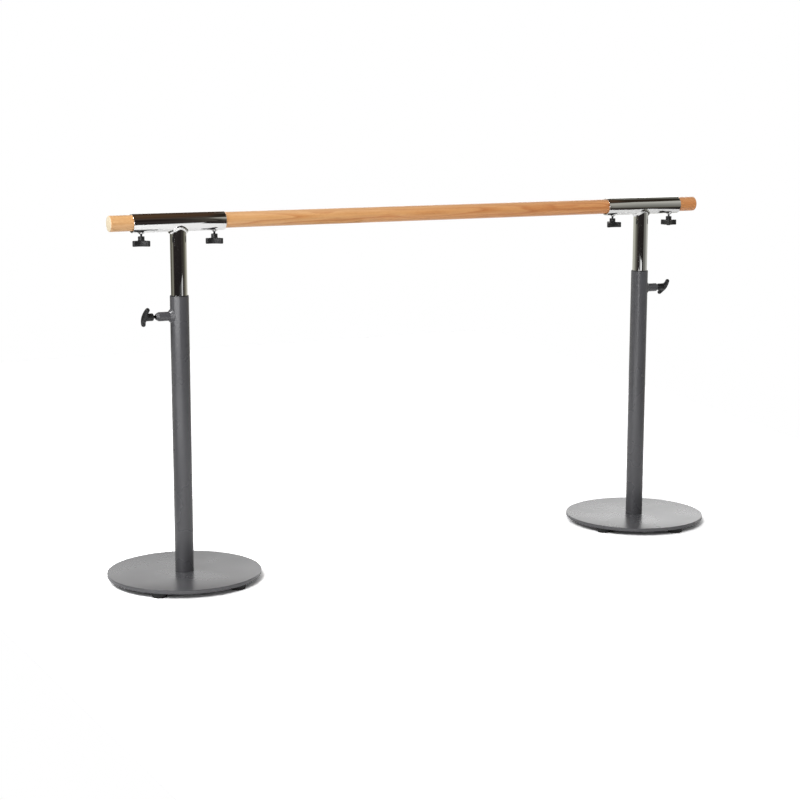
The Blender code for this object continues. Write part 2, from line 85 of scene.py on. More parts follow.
# %% [markdown]
# ## Camera
# The photograph looks down on the barre a little, from the left. A long lens far away keeps the two stands nearly the
# same size, which is how a catalogue picture is taken.

# %% Camera at the photograph's place
CAMERA_PLACE = (-2.32289, -4.31742, PLATE_TOP + 1.24407)
CAMERA_DOWN, CAMERA_ROLL, CAMERA_YAW = 9.838, 0.075, -27.508
LENS = 81.394

camera_data = bpy.data.cameras.new("photo_camera")
camera_data.lens = LENS
camera_data.sensor_width = 36
camera = bpy.data.objects.new("photo_camera", camera_data)
camera.location = CAMERA_PLACE
looking = Matrix.Rotation(math.radians(CAMERA_YAW), 3, "Z") @ Matrix.Rotation(math.radians(90 - CAMERA_DOWN), 3, "X")
camera.rotation_euler = (looking @ Matrix.Rotation(math.radians(CAMERA_ROLL), 3, "Z")).to_euler()
bpy.context.scene.collection.objects.link(camera)
bpy.context.scene.camera = camera
bpy.context.scene.view_settings.view_transform = "Standard"
print("camera", [round(v, 3) for v in camera.location])

# %% [markdown]
# ## Nodes and colours
# Every finish below is a small node tree. One function opens a tree and the others add to it, so that a tree reads as
# a list. Colours are sRGB hex values, as picked from a swatch, and are turned to the renderer's linear numbers.

# %% Functions for nodes
WHITE = "#FFFFFF"


def linear(hex_colour):
    parts = [int(hex_colour[i : i + 2], 16) / 255 for i in (1, 3, 5)]
    return (*((p / 12.92 if p <= 0.04045 else ((p + 0.055) / 1.055) ** 2.4) for p in parts), 1)


def open_tree(owner):
    """Empties the nodes of a world or a material, and makes them the tree that the others add to."""
    global tree
    owner.use_nodes = True
    tree = owner.node_tree
    tree.nodes.clear()


def feed(node, inputs):
    """Fills inputs, each with a number, a vector, a hex colour or another node's output."""
    for name, value in inputs.items():
        if isinstance(value, bpy.types.NodeSocket):
            tree.links.new(value, node.inputs[name])
        else:
            node.inputs[name].default_value = linear(value) if isinstance(value, str) else value


def add(kind, inputs=None, **properties):
    """A new shader node in the open tree."""
    node = tree.nodes.new("ShaderNode" + kind)
    for name, value in properties.items():
        setattr(node, name, value)
    feed(node, inputs or {})
    return node


def finish(name, inputs):
    """A new material and its Principled shader, with these inputs filled and its tree left open."""
    global tree
    material = bpy.data.materials.new(name)
    material.use_nodes = True
    tree = material.node_tree
    shader = tree.nodes["Principled BSDF"]
    feed(shader, inputs)
    return material, shader


def object_place():
    return add("TexCoord").outputs["Object"]


def maths(operation, *values):
    return add("Math", dict(enumerate(values)), operation=operation).outputs[0]


def ranged(source, start, end, low=0.0, high=1.0, kind="LINEAR"):
    """Takes values from start to end over to low to high, and stays at low or high outside them."""
    inputs = {"Value": source, "From Min": start, "From Max": end, "To Min": low, "To Max": high}
    return add("MapRange", inputs, interpolation_type=kind).outputs[0]


def step_between(start, end, source):
    return ranged(source, start, end, kind="SMOOTHSTEP")


def blended(amount, under, over, kind="MIX"):
    return add("Mix", {0: amount, 6: under, 7: over}, data_type="RGBA", blend_type=kind).outputs[2]


def toned(source, stops):
    """A colour ramp over values from 0 to 1. Its stops are (value, hex) pairs."""
    ramp = add("ValToRGB", {"Fac": source})
    elements = ramp.color_ramp.elements
    elements.remove(elements[-1])
    elements[0].position, elements[0].color = stops[0][0], linear(stops[0][1])
    for value, colour in stops[1:]:
        elements.new(value).color = linear(colour)
    return ramp.outputs[0]


def toned_along(source, stops):
    """A colour ramp over any values, from the first stop's to the last one's."""
    first, last = stops[0][0], stops[-1][0]
    return toned(ranged(source, first, last), [((value - first) / (last - first), c) for value, c in stops])


def noise(size, place, detail, roughness=0.5):
    return add("TexNoise", {"Scale": 1 / size, "Detail": detail, "Roughness": roughness, "Vector": place}).outputs[0]


def bump(height, strength, depth):
    return add("Bump", {"Strength": strength, "Distance": depth, "Height": height}).outputs[0]


# %% [markdown]
# ## Studio
# Chrome has no colour of its own: it shows what stands round it. So the world is white where the camera sees it, and
# reflections see a studio laid out by compass direction and by height: dark towards the camera, brown above, grey at
# the sides and white all round the floor. Matt surfaces get plain light, more from above than from the sides. From
# below they get light too, because the white floor goes on past the sheet's edge.

# %% The world
SIDE_LIGHT, TOP_LIGHT, LOW_LIGHT = 0.12, 0.45, 0.7
# Compass stops for reflections: 0 is straight towards the camera's side (-Y), and +90 is towards +X
WALLS = [
    (-180, "#ABABA0"),
    (-165, "#B3B3A9"),
    (-139, "#BEBDB1"),
    (-118, "#8A8A80"),
    (-104, "#7E7B71"),
    (-95, "#4A4740"),
    (-88, "#2A2624"),
    (-80, "#221F1F"),
    (10, "#221F1F"),
    (24, "#3C3833"),
    (46, "#6A675D"),
    (70, "#85837A"),
    (100, "#B5B2A8"),
    (150, "#CFCEBF"),
    (180, "#CFCEBF"),
]
# From a little below the horizon (-0.15) to straight up (1)
HEIGHTS = [
    (-0.15, "#211E1E"),
    (0.08, "#352F2D"),
    (0.29, "#2C2726"),
    (0.46, "#17110F"),
    (0.63, "#332B27"),
    (0.77, "#4A3F36"),
    (0.87, "#453325"),
    (1.0, "#54412F"),
]
DARK_FLOOR, BROWN_CEILING, GREY_CEILING, DARK_CEILING = "#2A2725", "#523F2F", "#6E6D66", "#2C261F"
# Where each part of the studio starts and is complete: compass degrees, then shares of a direction of length 1
FRONT_LEFT, FRONT_RIGHT = (-88, -80), (36, 10)
ABOVE_FLOOR, HORIZON, BACKDROP_TOP, CEILING = (-0.4, -0.33), (-0.03, 0.02), (0.34, 0.43), (0.63, 0.68)
BEHIND, ON_THE_RIGHT, BELOW = (0.2, 0.3), (0.44, 0.5), (0, -0.1)
# How far back the right half's ceiling goes, as distance back over height
CEILING_END = (0.1, 0.35)
# The backdrop is brighter on the right and higher up, which the satin plates pick up
BRIGHTER_UP, BRIGHTER_RIGHT = (0.21, 0.35, 0.7, 3.1), (0.38, 0.56, 1.0, 1.7)

world = bpy.data.worlds.new("studio")
bpy.context.scene.world = world
open_tree(world)
direction = add("SeparateXYZ", {0: add("TexCoord").outputs["Generated"]}).outputs
x, y, z = (direction[axis] for axis in "XYZ")

compass = maths("ARCTAN2", x, maths("MULTIPLY", y, -1))
walls = toned_along(compass, [(math.radians(angle), colour) for angle, colour in WALLS])
dark = toned_along(z, HEIGHTS)
sides = (step_between(*map(math.radians, edge), compass) for edge in (FRONT_LEFT, FRONT_RIGHT))
room = blended(maths("MULTIPLY", *sides), walls, dark)
room = blended(step_between(*ABOVE_FLOOR, z), DARK_FLOOR, room)
behind, right, upper = step_between(*BEHIND, y), step_between(*ON_THE_RIGHT, x), step_between(*BACKDROP_TOP, z)
backdrop = maths("MULTIPLY", behind, step_between(*HORIZON, z))
backdrop = maths("MULTIPLY", backdrop, maths("SUBTRACT", 1.0, upper))
room = blended(backdrop, room, WHITE)
room = blended(maths("MULTIPLY", behind, upper), room, blended(right, BROWN_CEILING, GREY_CEILING))
lift = maths("MULTIPLY", ranged(z, *BRIGHTER_UP), ranged(x, *BRIGHTER_RIGHT))
lift = maths("ADD", 1.0, maths("MULTIPLY", maths("SUBTRACT", lift, 1.0), backdrop))
# On the right the ceiling is darker, and it ends a little behind the bar
ceiling = blended(right, dark, DARK_CEILING)
past_end = step_between(*CEILING_END, maths("DIVIDE", y, z))
ceiling = blended(maths("MULTIPLY", right, past_end), ceiling, GREY_CEILING)
room = blended(step_between(*CEILING, z), room, ceiling)

rays = add("LightPath").outputs
soft = maths("MULTIPLY_ADD", maths("MAXIMUM", z, 0), TOP_LIGHT, SIDE_LIGHT)
soft = maths("MULTIPLY_ADD", step_between(*BELOW, z), LOW_LIGHT, soft)
even = add("Background", {"Color": WHITE, "Strength": soft})
reflected = add("Background", {"Color": room, "Strength": lift})
white = add("Background", {"Color": WHITE, "Strength": 1})
seen = maths("MAXIMUM", rays["Is Camera Ray"], rays["Is Transmission Ray"])
lit = add("MixShader", {0: rays["Is Glossy Ray"], 1: even.outputs[0], 2: reflected.outputs[0]})
surface = add("MixShader", {0: seen, 1: lit.outputs[0], 2: white.outputs[0]})
add("OutputWorld", {"Surface": surface.outputs[0]})
print("world with", len(WALLS), "wall stops")

# %% [markdown]
# ## Paper floor, panels and lamps
# A sheet of white paper lies under the stands. It is overexposed: the camera sees it brighter than paper is, so only
# the deep shadow right under the plates shows. Round it stand plain sheets that only reflections see. A grey wall on
# the right and three small graduated cards give the chrome its grey edges, and a low white card in front makes the
# bright wedge at the foot of each post. Two softboxes on the left draw the light band down the columns. The key lamp
# makes the shadows, and a wide fill lamp in front, which shows in no reflection, opens them.

# %% Floor
FLOOR_CORNERS = [(-1.25, -3.0), (0.45, -3.0), (1.36, -0.9), (1.66, -0.92), (2.5, 3.9), (-1.25, 3.9)]
PAPER, OVEREXPOSED = 1.0, 1.9


def stage_plane(name, corners, material, seen_by_camera=False):
    """A flat piece of the studio with these corners."""
    mesh = bpy.data.meshes.new(name)
    mesh.from_pydata(corners, [], [range(len(corners))])
    mesh.materials.append(material)
    piece = bpy.data.objects.new(name, mesh)
    bpy.context.scene.collection.objects.link(piece)
    if not seen_by_camera:
        piece.visible_camera = piece.visible_diffuse = piece.visible_shadow = piece.visible_transmission = False
    return piece


paper = bpy.data.materials.new("white_paper")
open_tree(paper)
rays = add("LightPath").outputs
shown = maths("MAXIMUM", rays["Is Camera Ray"], rays["Is Transmission Ray"])
matt = add("BsdfDiffuse", {"Color": maths("MULTIPLY_ADD", shown, OVEREXPOSED - PAPER, PAPER)})
add("OutputMaterial", {"Surface": matt.outputs[0]})
stage_plane("paper_floor", [(x, y, 0) for x, y in FLOOR_CORNERS], paper, seen_by_camera=True)

# %% Panels that only reflections see
# The grey wall on the right: (x, y, how high its top is there), its tones along Y, and its light by height
WALL_LINE = [(2.07, -4.5, 4.6), (3.4, -2.5, 4.6), (3.36, -1.3, 2.7), (3.33, 1.5, 2.7)]
WALL_TONES = [(-4.5, "#1A1714"), (-4.35, "#4A4842"), (-4.2, "#686660"), (-4.0, "#95938C"), (-3.5, "#91908A")]
WALL_TONES += [(-3.0, "#90908A"), (-2.4, "#9C9B95"), (-1.66, "#AAA9A3"), (-0.43, "#E6E5DE"), (1.5, "#E6E5DE")]
WALL_RISE = (0.3, 3.2, 0.55, 1.4)
# The low white card in front, as (x, z) on its own plane, and its tones along X
CARD_Y = -1.65
CARD = [(-1.5, 0.36), (0.7, 0.36), (0.7, 0.51), (0.62, 0.53), (0.3, 0.525), (-0.1, 0.52), (-0.5, 0.51), (-1.5, 0.48)]
CARD_TONES = [(-1.5, "#262424"), (-0.9, "#333333"), (-0.41, "#616161"), (-0.15, "#A8A8A8"), (0.25, "#EEEEEE")]
CARD_TONES += [(0.7, WHITE)]
# Two softboxes on the left, as two corners on the floor plan, two heights and a strength. The low one is for the
# columns' lower half, and lies under what the chrome posts show.
SOFTBOXES = {
    "long_softbox": ([(-4.69, -0.46), (-2.6, -4.82)], (0.7, 1.7), 6.0),
    "low_softbox": ([(-2.5, -0.4), (-0.9, -2.3)], (0.0, 0.3), 2.4),
}
# Small graduated cards near the left post: two corners on the floor plan, then tones along X or Y
CARD_HEIGHTS = (0.55, 0.92)
MIDDLE_LEFT = [(-0.85, "#242120"), (-0.45, "#3F3B38"), (-0.24, "#5C5A4D"), (-0.06, "#868475"), (0.15, "#BAB6AE")]
MIDDLE_RIGHT = [(-0.85, "#221F1F"), (-0.4, "#2A2523"), (-0.2, "#403C38"), (-0.06, "#504D47"), (0.15, "#69685F")]
LEFT = [(-1.02, "#7F7C72"), (-0.95, "#636154"), (-0.8, "#4A4940"), (-0.72, "#4A4940")]
CARDS = {
    "left_card": ([(-1.021, 0.15), (-0.72, 0.394)], LEFT, "X"),
    "middle_card_left": ([(-0.205, -0.85), (-0.205, 0.4)], MIDDLE_LEFT + [(0.4, "#C9C7BC")], "Y"),
    "middle_card_right": ([(-0.195, -0.85), (-0.195, 0.4)], MIDDLE_RIGHT + [(0.4, "#86867C")], "Y"),
}


def glowing(name, tones=((-1, WHITE), (1, WHITE)), axis="Y", strength=1.0, rise=None):
    """A material that gives off light in tones along one axis. A rise makes it stronger with height."""
    material = bpy.data.materials.new(name)
    open_tree(material)
    place = add("SeparateXYZ", {0: object_place()}).outputs
    light = add("Emission", {"Color": toned_along(place[axis], tones), "Strength": strength})
    if rise:
        feed(light, {"Strength": ranged(place["Z"], *rise)})
    add("OutputMaterial", {"Surface": light.outputs[0]})
    return material


def upright(corners, heights):
    """A standing rectangle's corners, from two corners on the floor plan and two heights."""
    (x0, y0), (x1, y1) = corners
    low, high = heights
    return [(x0, y0, low), (x1, y1, low), (x1, y1, high), (x0, y0, high)]


grey_wall = glowing("grey_wall_panel", WALL_TONES, rise=WALL_RISE)
for i, ((x0, y0, top0), (x1, y1, top1)) in enumerate(zip(WALL_LINE, WALL_LINE[1:])):
    stage_plane(f"wall_panel_{i}", [(x0, y0, 0), (x1, y1, 0), (x1, y1, top1), (x0, y0, top0)], grey_wall)
stage_plane("white_card", [(x, CARD_Y, z) for x, z in CARD], glowing("white_card_panel", CARD_TONES, "X"))
for name, (corners, heights, strength) in SOFTBOXES.items():
    stage_plane(name, upright(corners, heights), glowing(f"{name}_panel", strength=strength))
for name, (corners, tones, axis) in CARDS.items():
    stage_plane(name, upright(corners, CARD_HEIGHTS), glowing(f"{name}_panel", tones, axis))

# %% Key lamp on the left and fill lamp in front
LAMPS = {
    # name: (width, place, watts, whether reflections show it)
    "key": (0.9, (-3.9, -0.3, 3.6), 80, True),
    "fill": (2.0, (-4.2, -4.6, 5.0), 270, False),
}
LAMP_AIM = (0, 0, 0.6)

for name, (width, place, watts, mirrored) in LAMPS.items():
    lamp_data = bpy.data.lights.new(name, "AREA")
    lamp_data.shape, lamp_data.size, lamp_data.energy = "DISK", width, watts
    lamp = bpy.data.objects.new(name, lamp_data)
    lamp.location = place
    lamp.rotation_euler = (Vector(LAMP_AIM) - Vector(place)).to_track_quat("-Z", "Y").to_euler()
    lamp.visible_camera, lamp.visible_glossy = False, mirrored
    bpy.context.scene.collection.objects.link(lamp)
print("floor", FLOOR_CORNERS, "lamps", *LAMPS)

# %% [markdown]
# ## Charcoal powder coat on steel
# Powder is sprayed on dry and baked, and it flows out to a tough satin skin. It reflects softly, and its surface has
# the faint dimples called orange peel. A real dimple is about 1.5 mm across, finer than the picture can hold, so it is
# drawn at about 3 mm and very shallow. A slow change of roughness keeps the big flat plates from looking computed.

# %% Powder coat
ORANGE_PEEL, PEEL_DEPTH = 3 * MM, 0.05 * MM
CLOUD = 90 * MM

powder_coat, shader = finish("satin_powder_coat_baked", {"IOR": 1.55})
place = object_place()
cloud = noise(CLOUD, place, 3.0)
charcoal = toned(cloud, [(0.3, "#4F4F52"), (0.7, "#525255")])
dimples = bump(noise(ORANGE_PEEL, place, 2.0, 0.4), 0.01, PEEL_DEPTH)
feed(shader, {"Base Color": charcoal, "Roughness": ranged(cloud, 0.3, 0.7, 0.26, 0.3), "Normal": dimples})
POWDER = ("charcoal_powder_coat", powder_coat)
print(powder_coat.name)

# %% [markdown]
# ## Chrome plate
# Decorative chrome over polished steel tube is almost a mirror. The tube under it was drawn and buffed, so the mirror
# is slightly wavy, and fingers leave faint duller clouds. The waves are about 25 mm long and a few hundredths of a
# millimetre high, just enough to make the edges of a reflection wander.

# %% Chrome
WAVE, WAVE_DEPTH = 25 * MM, 0.15 * MM
SMUDGE = 40 * MM

chrome_plate, shader = finish("chrome_plated_and_buffed", {"Base Color": "#F1F1F0", "Metallic": 1.0})
place = object_place()
dull = ranged(noise(SMUDGE, place, 4.0, 0.6), 0.35, 0.75, 0.03, 0.06)
feed(shader, {"Roughness": dull, "Normal": bump(noise(WAVE, place, 1.0), 0.25, WAVE_DEPTH)})
CHROME = ("chrome_plate", chrome_plate)
print(chrome_plate.name)

# %% [markdown]
# ## Lacquered beech
# Beech is a pale, even wood. Its year rings run nearly along the bar but not quite, so the turned surface cuts them at
# a slant, and they show as long soft streaks that close in pointed arches on the front. The rings' centre therefore
# lies behind the bar and tilts a little along it. The tone darkens from honey on the left to orange on the right:
# partly the redder heart side, and partly painted shade of light that falls off along the bar. A paler strip along
# the top, fading in left of the middle, is a painted highlight of light from above. The ends in the sleeves are
# plainer. The sanded end faces are paler. A satin lacquer lies over everything.

# %% Beech
RING_WIDTH, RING_WANDER = 5.5 * MM, 2.6
PITH, PITH_TILT = (0, -64 * MM, 16 * MM), math.radians(0.75)
# Grain sizes across the bar, and how far each is squeezed along it, which draws the grain out
WANDER, WANDER_SQUEEZE = 26 * MM, 0.12
FIBRE, FIBRE_SQUEEZE, FIBRE_DEPTH = 1.4 * MM, 0.015, 0.04 * MM
FLECK, FLECK_SQUEEZE = 0.9 * MM, 0.1
CALM_FROM, CALM_STEP = 770 * MM, 60 * MM
# Painted highlight along the top of the bar: the heights over the axis where it fades in, then the places along X
TOP_HIGHLIGHT_FROM, TOP_HIGHLIGHT_FULL = 5 * MM, 17 * MM
TOP_HIGHLIGHT_LEFT, TOP_HIGHLIGHT_RIGHT = -0.85, -0.35
END_FROM, END_FULL = 1.2 * MM, 0.2 * MM
BAR_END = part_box("bar")[1][0]
RING_TONES = [(0.0, "#E7B67E"), (0.35, "#E4B077"), (0.7, "#DCA267"), (0.88, "#D2935A"), (1.0, "#E6B47C")]
# Multiplied over the bar from left to right: the heart side's redder tone, and painted shade of light falling off
HEARTWOOD_AND_SHADE_TONES = [(0.0, WHITE), (0.25, "#FFF8EF"), (0.5, "#FDEDDB"), (0.75, "#FBE3CB"), (1.0, "#F7D5B4")]
# The second of these is the tone of the painted highlight along the bar's top
CALM_TONE, TOP_HIGHLIGHT_TONE, END_TONE = "#E6B47B", "#F0CDA6", "#F6E6C6"


def mapped(place, **inputs):
    return add("Mapping", {"Vector": place, **inputs}).outputs[0]


def drawn_out(place, size, squeeze, detail):
    """Noise of one size across the bar, and longer along it."""
    return noise(size, mapped(place, Scale=(squeeze, 1, 1)), detail)


lacquer = {"Roughness": 0.4, "Coat Weight": 0.4, "Coat Roughness": 0.22, "Coat IOR": 1.5}
beech, shader = finish("beech_turned_and_lacquered", lacquer | {"Sheen Weight": 0.2, "Sheen Roughness": 0.4})
place = object_place()
centred = mapped(place, Location=(0, 0, -BAR_HEIGHT))
tilted = mapped(centred, Location=PITH, Rotation=(0, 0, PITH_TILT))
radius = add("VectorMath", {0: mapped(tilted, Scale=(0, 1, 1))}, operation="LENGTH").outputs["Value"]
wander = drawn_out(tilted, WANDER, WANDER_SQUEEZE, 1.0)
ring = maths("FRACT", maths("MULTIPLY_ADD", wander, RING_WANDER, maths("DIVIDE", radius, RING_WIDTH)))
fibre = drawn_out(centred, FIBRE, FIBRE_SQUEEZE, 2.0)
fibres = toned(fibre, [(0.38, "#EBDFD0"), (0.6, WHITE)])
flecks = toned(drawn_out(centred, FLECK, FLECK_SQUEEZE, 0.0), [(0.66, WHITE), (0.73, "#DDBB96")])
along = add("SeparateXYZ", {0: place}).outputs["X"]
height = add("SeparateXYZ", {0: centred}).outputs["Z"]
from_middle = maths("ABSOLUTE", along)
calm = step_between(CALM_FROM, CALM_FROM + CALM_STEP, from_middle)
# Painted highlight: a paler strip along the top of the bar, where light from above falls, fading in from the left
top_highlight = maths(
    "MULTIPLY",
    step_between(TOP_HIGHLIGHT_FROM, TOP_HIGHLIGHT_FULL, height),
    step_between(TOP_HIGHLIGHT_LEFT, TOP_HIGHLIGHT_RIGHT, along),
)
ends = step_between(BAR_END - END_FROM, BAR_END - END_FULL, from_middle)

wood = blended(maths("MULTIPLY", calm, 0.75), toned(ring, RING_TONES), CALM_TONE)
wood = blended(maths("MULTIPLY", top_highlight, 0.45), wood, TOP_HIGHLIGHT_TONE)
# Darker towards the right: the heart side's tone and painted shade of light falling off along the bar
wood = blended(1.0, wood, toned(ranged(along, -BAR_END, BAR_END), HEARTWOOD_AND_SHADE_TONES), "MULTIPLY")
wood = blended(0.45, wood, fibres, "MULTIPLY")
wood = blended(0.35, wood, flecks, "MULTIPLY")
wood = blended(ends, wood, blended(0.5, END_TONE, fibres, "MULTIPLY"))
feed(shader, {"Base Color": wood, "Normal": bump(fibre, 0.1, FIBRE_DEPTH)})
BEECH = ("lacquered_beech", beech)
print(beech.name)

# %% [markdown]
# ## Plastics and rubber
# The knobs are moulded in black nylon with a fine spark-eroded texture, which makes them silky. The guide ring is
# smoother black plastic, the screw tips are uncoloured nylon, and the feet are black rubber, the dullest of them all.
# They differ in colour, roughness and grain only, so one loop makes them.

# %% Moulded finishes
MOULDED = {
    # slot: (dark, light, roughest, smoothest, grain in mm)
    "black_knob_plastic": ("#1D1D1E", "#242425", 0.46, 0.38, 1.6),
    "dark_guide_plastic": ("#161617", "#1C1C1D", 0.42, 0.34, 2.5),
    "black_rubber": ("#131313", "#1B1B1B", 0.85, 0.7, 1.8),
    "natural_nylon": ("#D6D1C4", "#E2DED3", 0.5, 0.42, 2.0),
}
GRAIN_DEPTH = 0.05 * MM
moulded = {}
for slot, (black, light, roughest, smoothest, grain) in MOULDED.items():
    material, shader = finish(f"{slot}_moulded", {"IOR": 1.5})
    grains = noise(grain * MM, object_place(), 3.0)
    tone, dull = toned(grains, [(0.35, black), (0.65, light)]), ranged(grains, 0.3, 0.7, smoothest, roughest)
    feed(shader, {"Base Color": tone, "Roughness": dull, "Normal": bump(grains, 0.25, GRAIN_DEPTH)})
    moulded[slot] = (slot, material)
KNOB_PLASTIC, GUIDE_PLASTIC, RUBBER, NYLON = moulded.values()
print(*moulded)

# %% [markdown]
# ## Zinc plate on fasteners
# The bolt and washer under the plate have bright zinc, a bluish grey metal that soon goes a little cloudy. The knobs'
# screws have the black passivated kind, so nothing flashes between a black knob and its boss. The crystals are too
# fine to see, and only soft clouds of roughness about 6 mm wide are drawn.

# %% Zinc
ZINC = {"bright_zinc_plated_steel": ("#B9BCBF", 0.25, 0.42), "black_passivated_zinc": ("#2B2B2D", 0.3, 0.45)}
ZINC_CLOUD = 6 * MM
zinc = []
for name, (colour, smoothest, roughest) in ZINC.items():
    material, shader = finish(name, {"Base Color": colour, "Metallic": 1.0})
    clouds = noise(ZINC_CLOUD, object_place(), 3.0)
    feed(shader, {"Roughness": ranged(clouds, 0.3, 0.7, smoothest, roughest)})
    zinc.append(("zinc_plated_steel", material))
BRIGHT_ZINC, BLACK_ZINC = zinc
print(*ZINC)

# %% [markdown]
# ## Modelling helpers
# Nearly all of a barre comes off a lathe or is cut from round tube, so most pieces are a half profile spun about an
# axis. The profile is drawn as a chain of edges by extruding one corner, which is how it is done by hand. A Boolean
# then cuts the holes and the saddles where tubes meet.

# %% Helpers
# Points this close are one point
SAME_POINT = 0.004 * MM
FINE, MEDIUM, COARSE = 160, 96, 48
# A saddle is cut this much wider than the tube that it fits
FIT = 0.05 * MM


def nothing_selected():
    if bpy.context.mode != "OBJECT":
        bpy.ops.object.mode_set(mode="OBJECT")
    bpy.ops.object.select_all(action="DESELECT")


def take(piece):
    """Makes the piece the only one selected, and the active one."""
    nothing_selected()
    piece.select_set(True)
    bpy.context.view_layer.objects.active = piece


def pick(kind, test):
    """In edit mode, selects the edges or faces for which the test is true."""
    bpy.ops.mesh.select_mode(type=kind)
    bpy.ops.mesh.select_all(action="DESELECT")
    shape = bmesh.from_edit_mesh(bpy.context.object.data)
    for item in {"EDGE": shape.edges, "FACE": shape.faces}[kind]:
        if test(item):
            item.select_set(True)
    bmesh.update_edit_mesh(bpy.context.object.data)


def level(edge):
    return abs(edge.verts[0].co.z - edge.verts[1].co.z) < SAME_POINT


def leave_clean():
    """Merges doubled points, turns all faces outwards and leaves edit mode."""
    bpy.ops.mesh.select_all(action="SELECT")
    bpy.ops.mesh.remove_doubles(threshold=SAME_POINT)
    bpy.ops.mesh.normals_make_consistent(inside=False)
    bpy.ops.object.mode_set(mode="OBJECT")


def arc(centre, radius, start, end, steps):
    """Points of an arc from one angle in degrees to another, both ends included."""
    angles = [math.radians(start + (end - start) * i / steps) for i in range(steps + 1)]
    return [(centre[0] + radius * math.cos(a), centre[1] + radius * math.sin(a)) for a in angles]


def chain(name, spots):
    """Edges from spot to spot, drawn by extruding one corner. They are left in edit mode."""
    nothing_selected()
    bpy.ops.mesh.primitive_plane_add(size=MM)
    piece = bpy.context.object
    piece.name = name
    bpy.ops.object.mode_set(mode="EDIT")
    bpy.ops.mesh.select_mode(type="VERT")
    bpy.ops.mesh.select_all(action="SELECT")
    bpy.ops.mesh.merge(type="CENTER")
    bpy.ops.transform.translate(value=spots[0])
    for last, spot in zip(spots, spots[1:]):
        bpy.ops.mesh.extrude_vertices_move(TRANSFORM_OT_translate={"value": spot - last})
    return piece


def turned(name, profile, steps, along="Z", closed=False):
    """Spins a chain of (radius, length) points about the Z or the X axis."""
    x, z = Vector((1, 0, 0)), Vector((0, 0, 1))
    outwards, forwards = (x, z) if along == "Z" else (z, x)
    corners = profile + profile[:1] if closed else profile
    piece = chain(name, [outwards * radius + forwards * length for radius, length in corners])
    bpy.ops.mesh.select_all(action="SELECT")
    bpy.ops.mesh.spin(steps=steps, angle=FULL_TURN, center=(0, 0, 0), axis=forwards)
    leave_clean()
    return piece


def rod(name, radius, low, high, steps, along="Z"):
    return turned(name, [(0, high), (radius, high), (radius, low), (0, low)], steps, along)


def shifted(piece, x=0, z=0):
    """Moves a piece's mesh, so that its own zero stays at the world's."""
    piece.data.transform(Matrix.Translation((x, 0, z)))
    return piece


def apply_last(piece):
    take(piece)
    bpy.ops.object.modifier_apply(modifier=piece.modifiers[-1].name)


def boolean(piece, other, operation):
    """Cuts the other shape from the piece, or adds it, and deletes it."""
    modifier = piece.modifiers.new("boolean", "BOOLEAN")
    modifier.operation, modifier.solver, modifier.object = operation, "EXACT", other
    apply_last(piece)
    bpy.data.objects.remove(other, do_unlink=True)
    return piece


def joined(piece, other):
    """The other shape becomes part of the piece's mesh, as a weld does."""
    take(piece)
    other.select_set(True)
    bpy.ops.object.join()
    return piece


def smooth(piece, angle=32):
    take(piece)
    bpy.ops.object.shade_smooth_by_angle(angle=math.radians(angle))
    return piece


def put(piece, name, matrix, body, look, *nodes):
    """A copy of a modelled piece with its own mesh, in place, riding on its body in place of its CAD nodes."""
    slot, material = look
    mesh = piece.data.copy()
    mesh.transform(matrix)
    mesh.materials.clear()
    mesh.materials.append(material)
    copy = bpy.data.objects.new(name, mesh)
    mesh.name = name
    bpy.context.scene.collection.objects.link(copy)
    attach(copy, body)
    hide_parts(*nodes)
    return copy


def put_away(piece):
    """Deletes a model once its copies are in place, and says how fine it was."""
    piece.data.calc_loop_triangles()
    print(piece.name, len(piece.data.loop_triangles), "triangles")
    bpy.data.objects.remove(piece, do_unlink=True)


def put_both(piece, name, places, body, look, node):
    """Puts one copy in each side's place and the model away. In the names, * stands for the side."""
    for side, place in places.items():
        put(piece, name.replace("*", side), place, body.replace("*", side), look, node.replace("*", side))
    put_away(piece)


def on_stands(height=0, out=0):
    """Both stands' places, raised, and out along the lock screw's way."""
    return {side: stand @ Matrix.Translation((out, 0, height)) for side, stand in STAND.items()}


# Pieces that are round about the stand's axis aren't turned for the left side
STAND_AXIS = {side: Matrix.Translation((x, 0, 0)) for side, x in STAND_X.items()}
print("points merge within", SAME_POINT, "sides", FINE, MEDIUM, COARSE)

# %% [markdown]
# ## Base plate
# The plate is a disc cut from 9.5 mm steel, with its edges broken before coating so the powder covers them. It starts
# as a cylinder. The rim's two edges are bevelled, and both faces are inset round the bolt hole and bridged to open it.

# %% Base plate
PLATE_RADIUS, PLATE_EDGE, PLATE_SIDES = 199.85 * MM, 1.3 * MM, 288
BOLT_HOLE = 6.3 * MM
# The first inset ends here, so the faces round the hole aren't long and thin
MIDDLE_RING = 60 * MM

nothing_selected()
bpy.ops.mesh.primitive_cylinder_add(
    vertices=PLATE_SIDES,
    radius=PLATE_RADIUS,
    depth=PLATE_TOP - PLATE_BOTTOM,
    location=(0, 0, (PLATE_TOP + PLATE_BOTTOM) / 2),
)
plate = bpy.context.object
plate.name = "plate_model"
bpy.ops.object.transform_apply(location=True)
bpy.ops.object.mode_set(mode="EDIT")
pick("EDGE", level)
bpy.ops.mesh.bevel(offset=PLATE_EDGE, segments=5)
pick("FACE", lambda face: len(face.verts) > 8)
bpy.ops.mesh.inset(thickness=PLATE_RADIUS - PLATE_EDGE - MIDDLE_RING)
bpy.ops.mesh.inset(thickness=MIDDLE_RING - BOLT_HOLE)
bpy.ops.mesh.bridge_edge_loops()
bpy.ops.object.mode_set(mode="OBJECT")
put_both(smooth(plate), "steel_base_*", STAND_AXIS, "*_stand", POWDER, "base_plate_*")

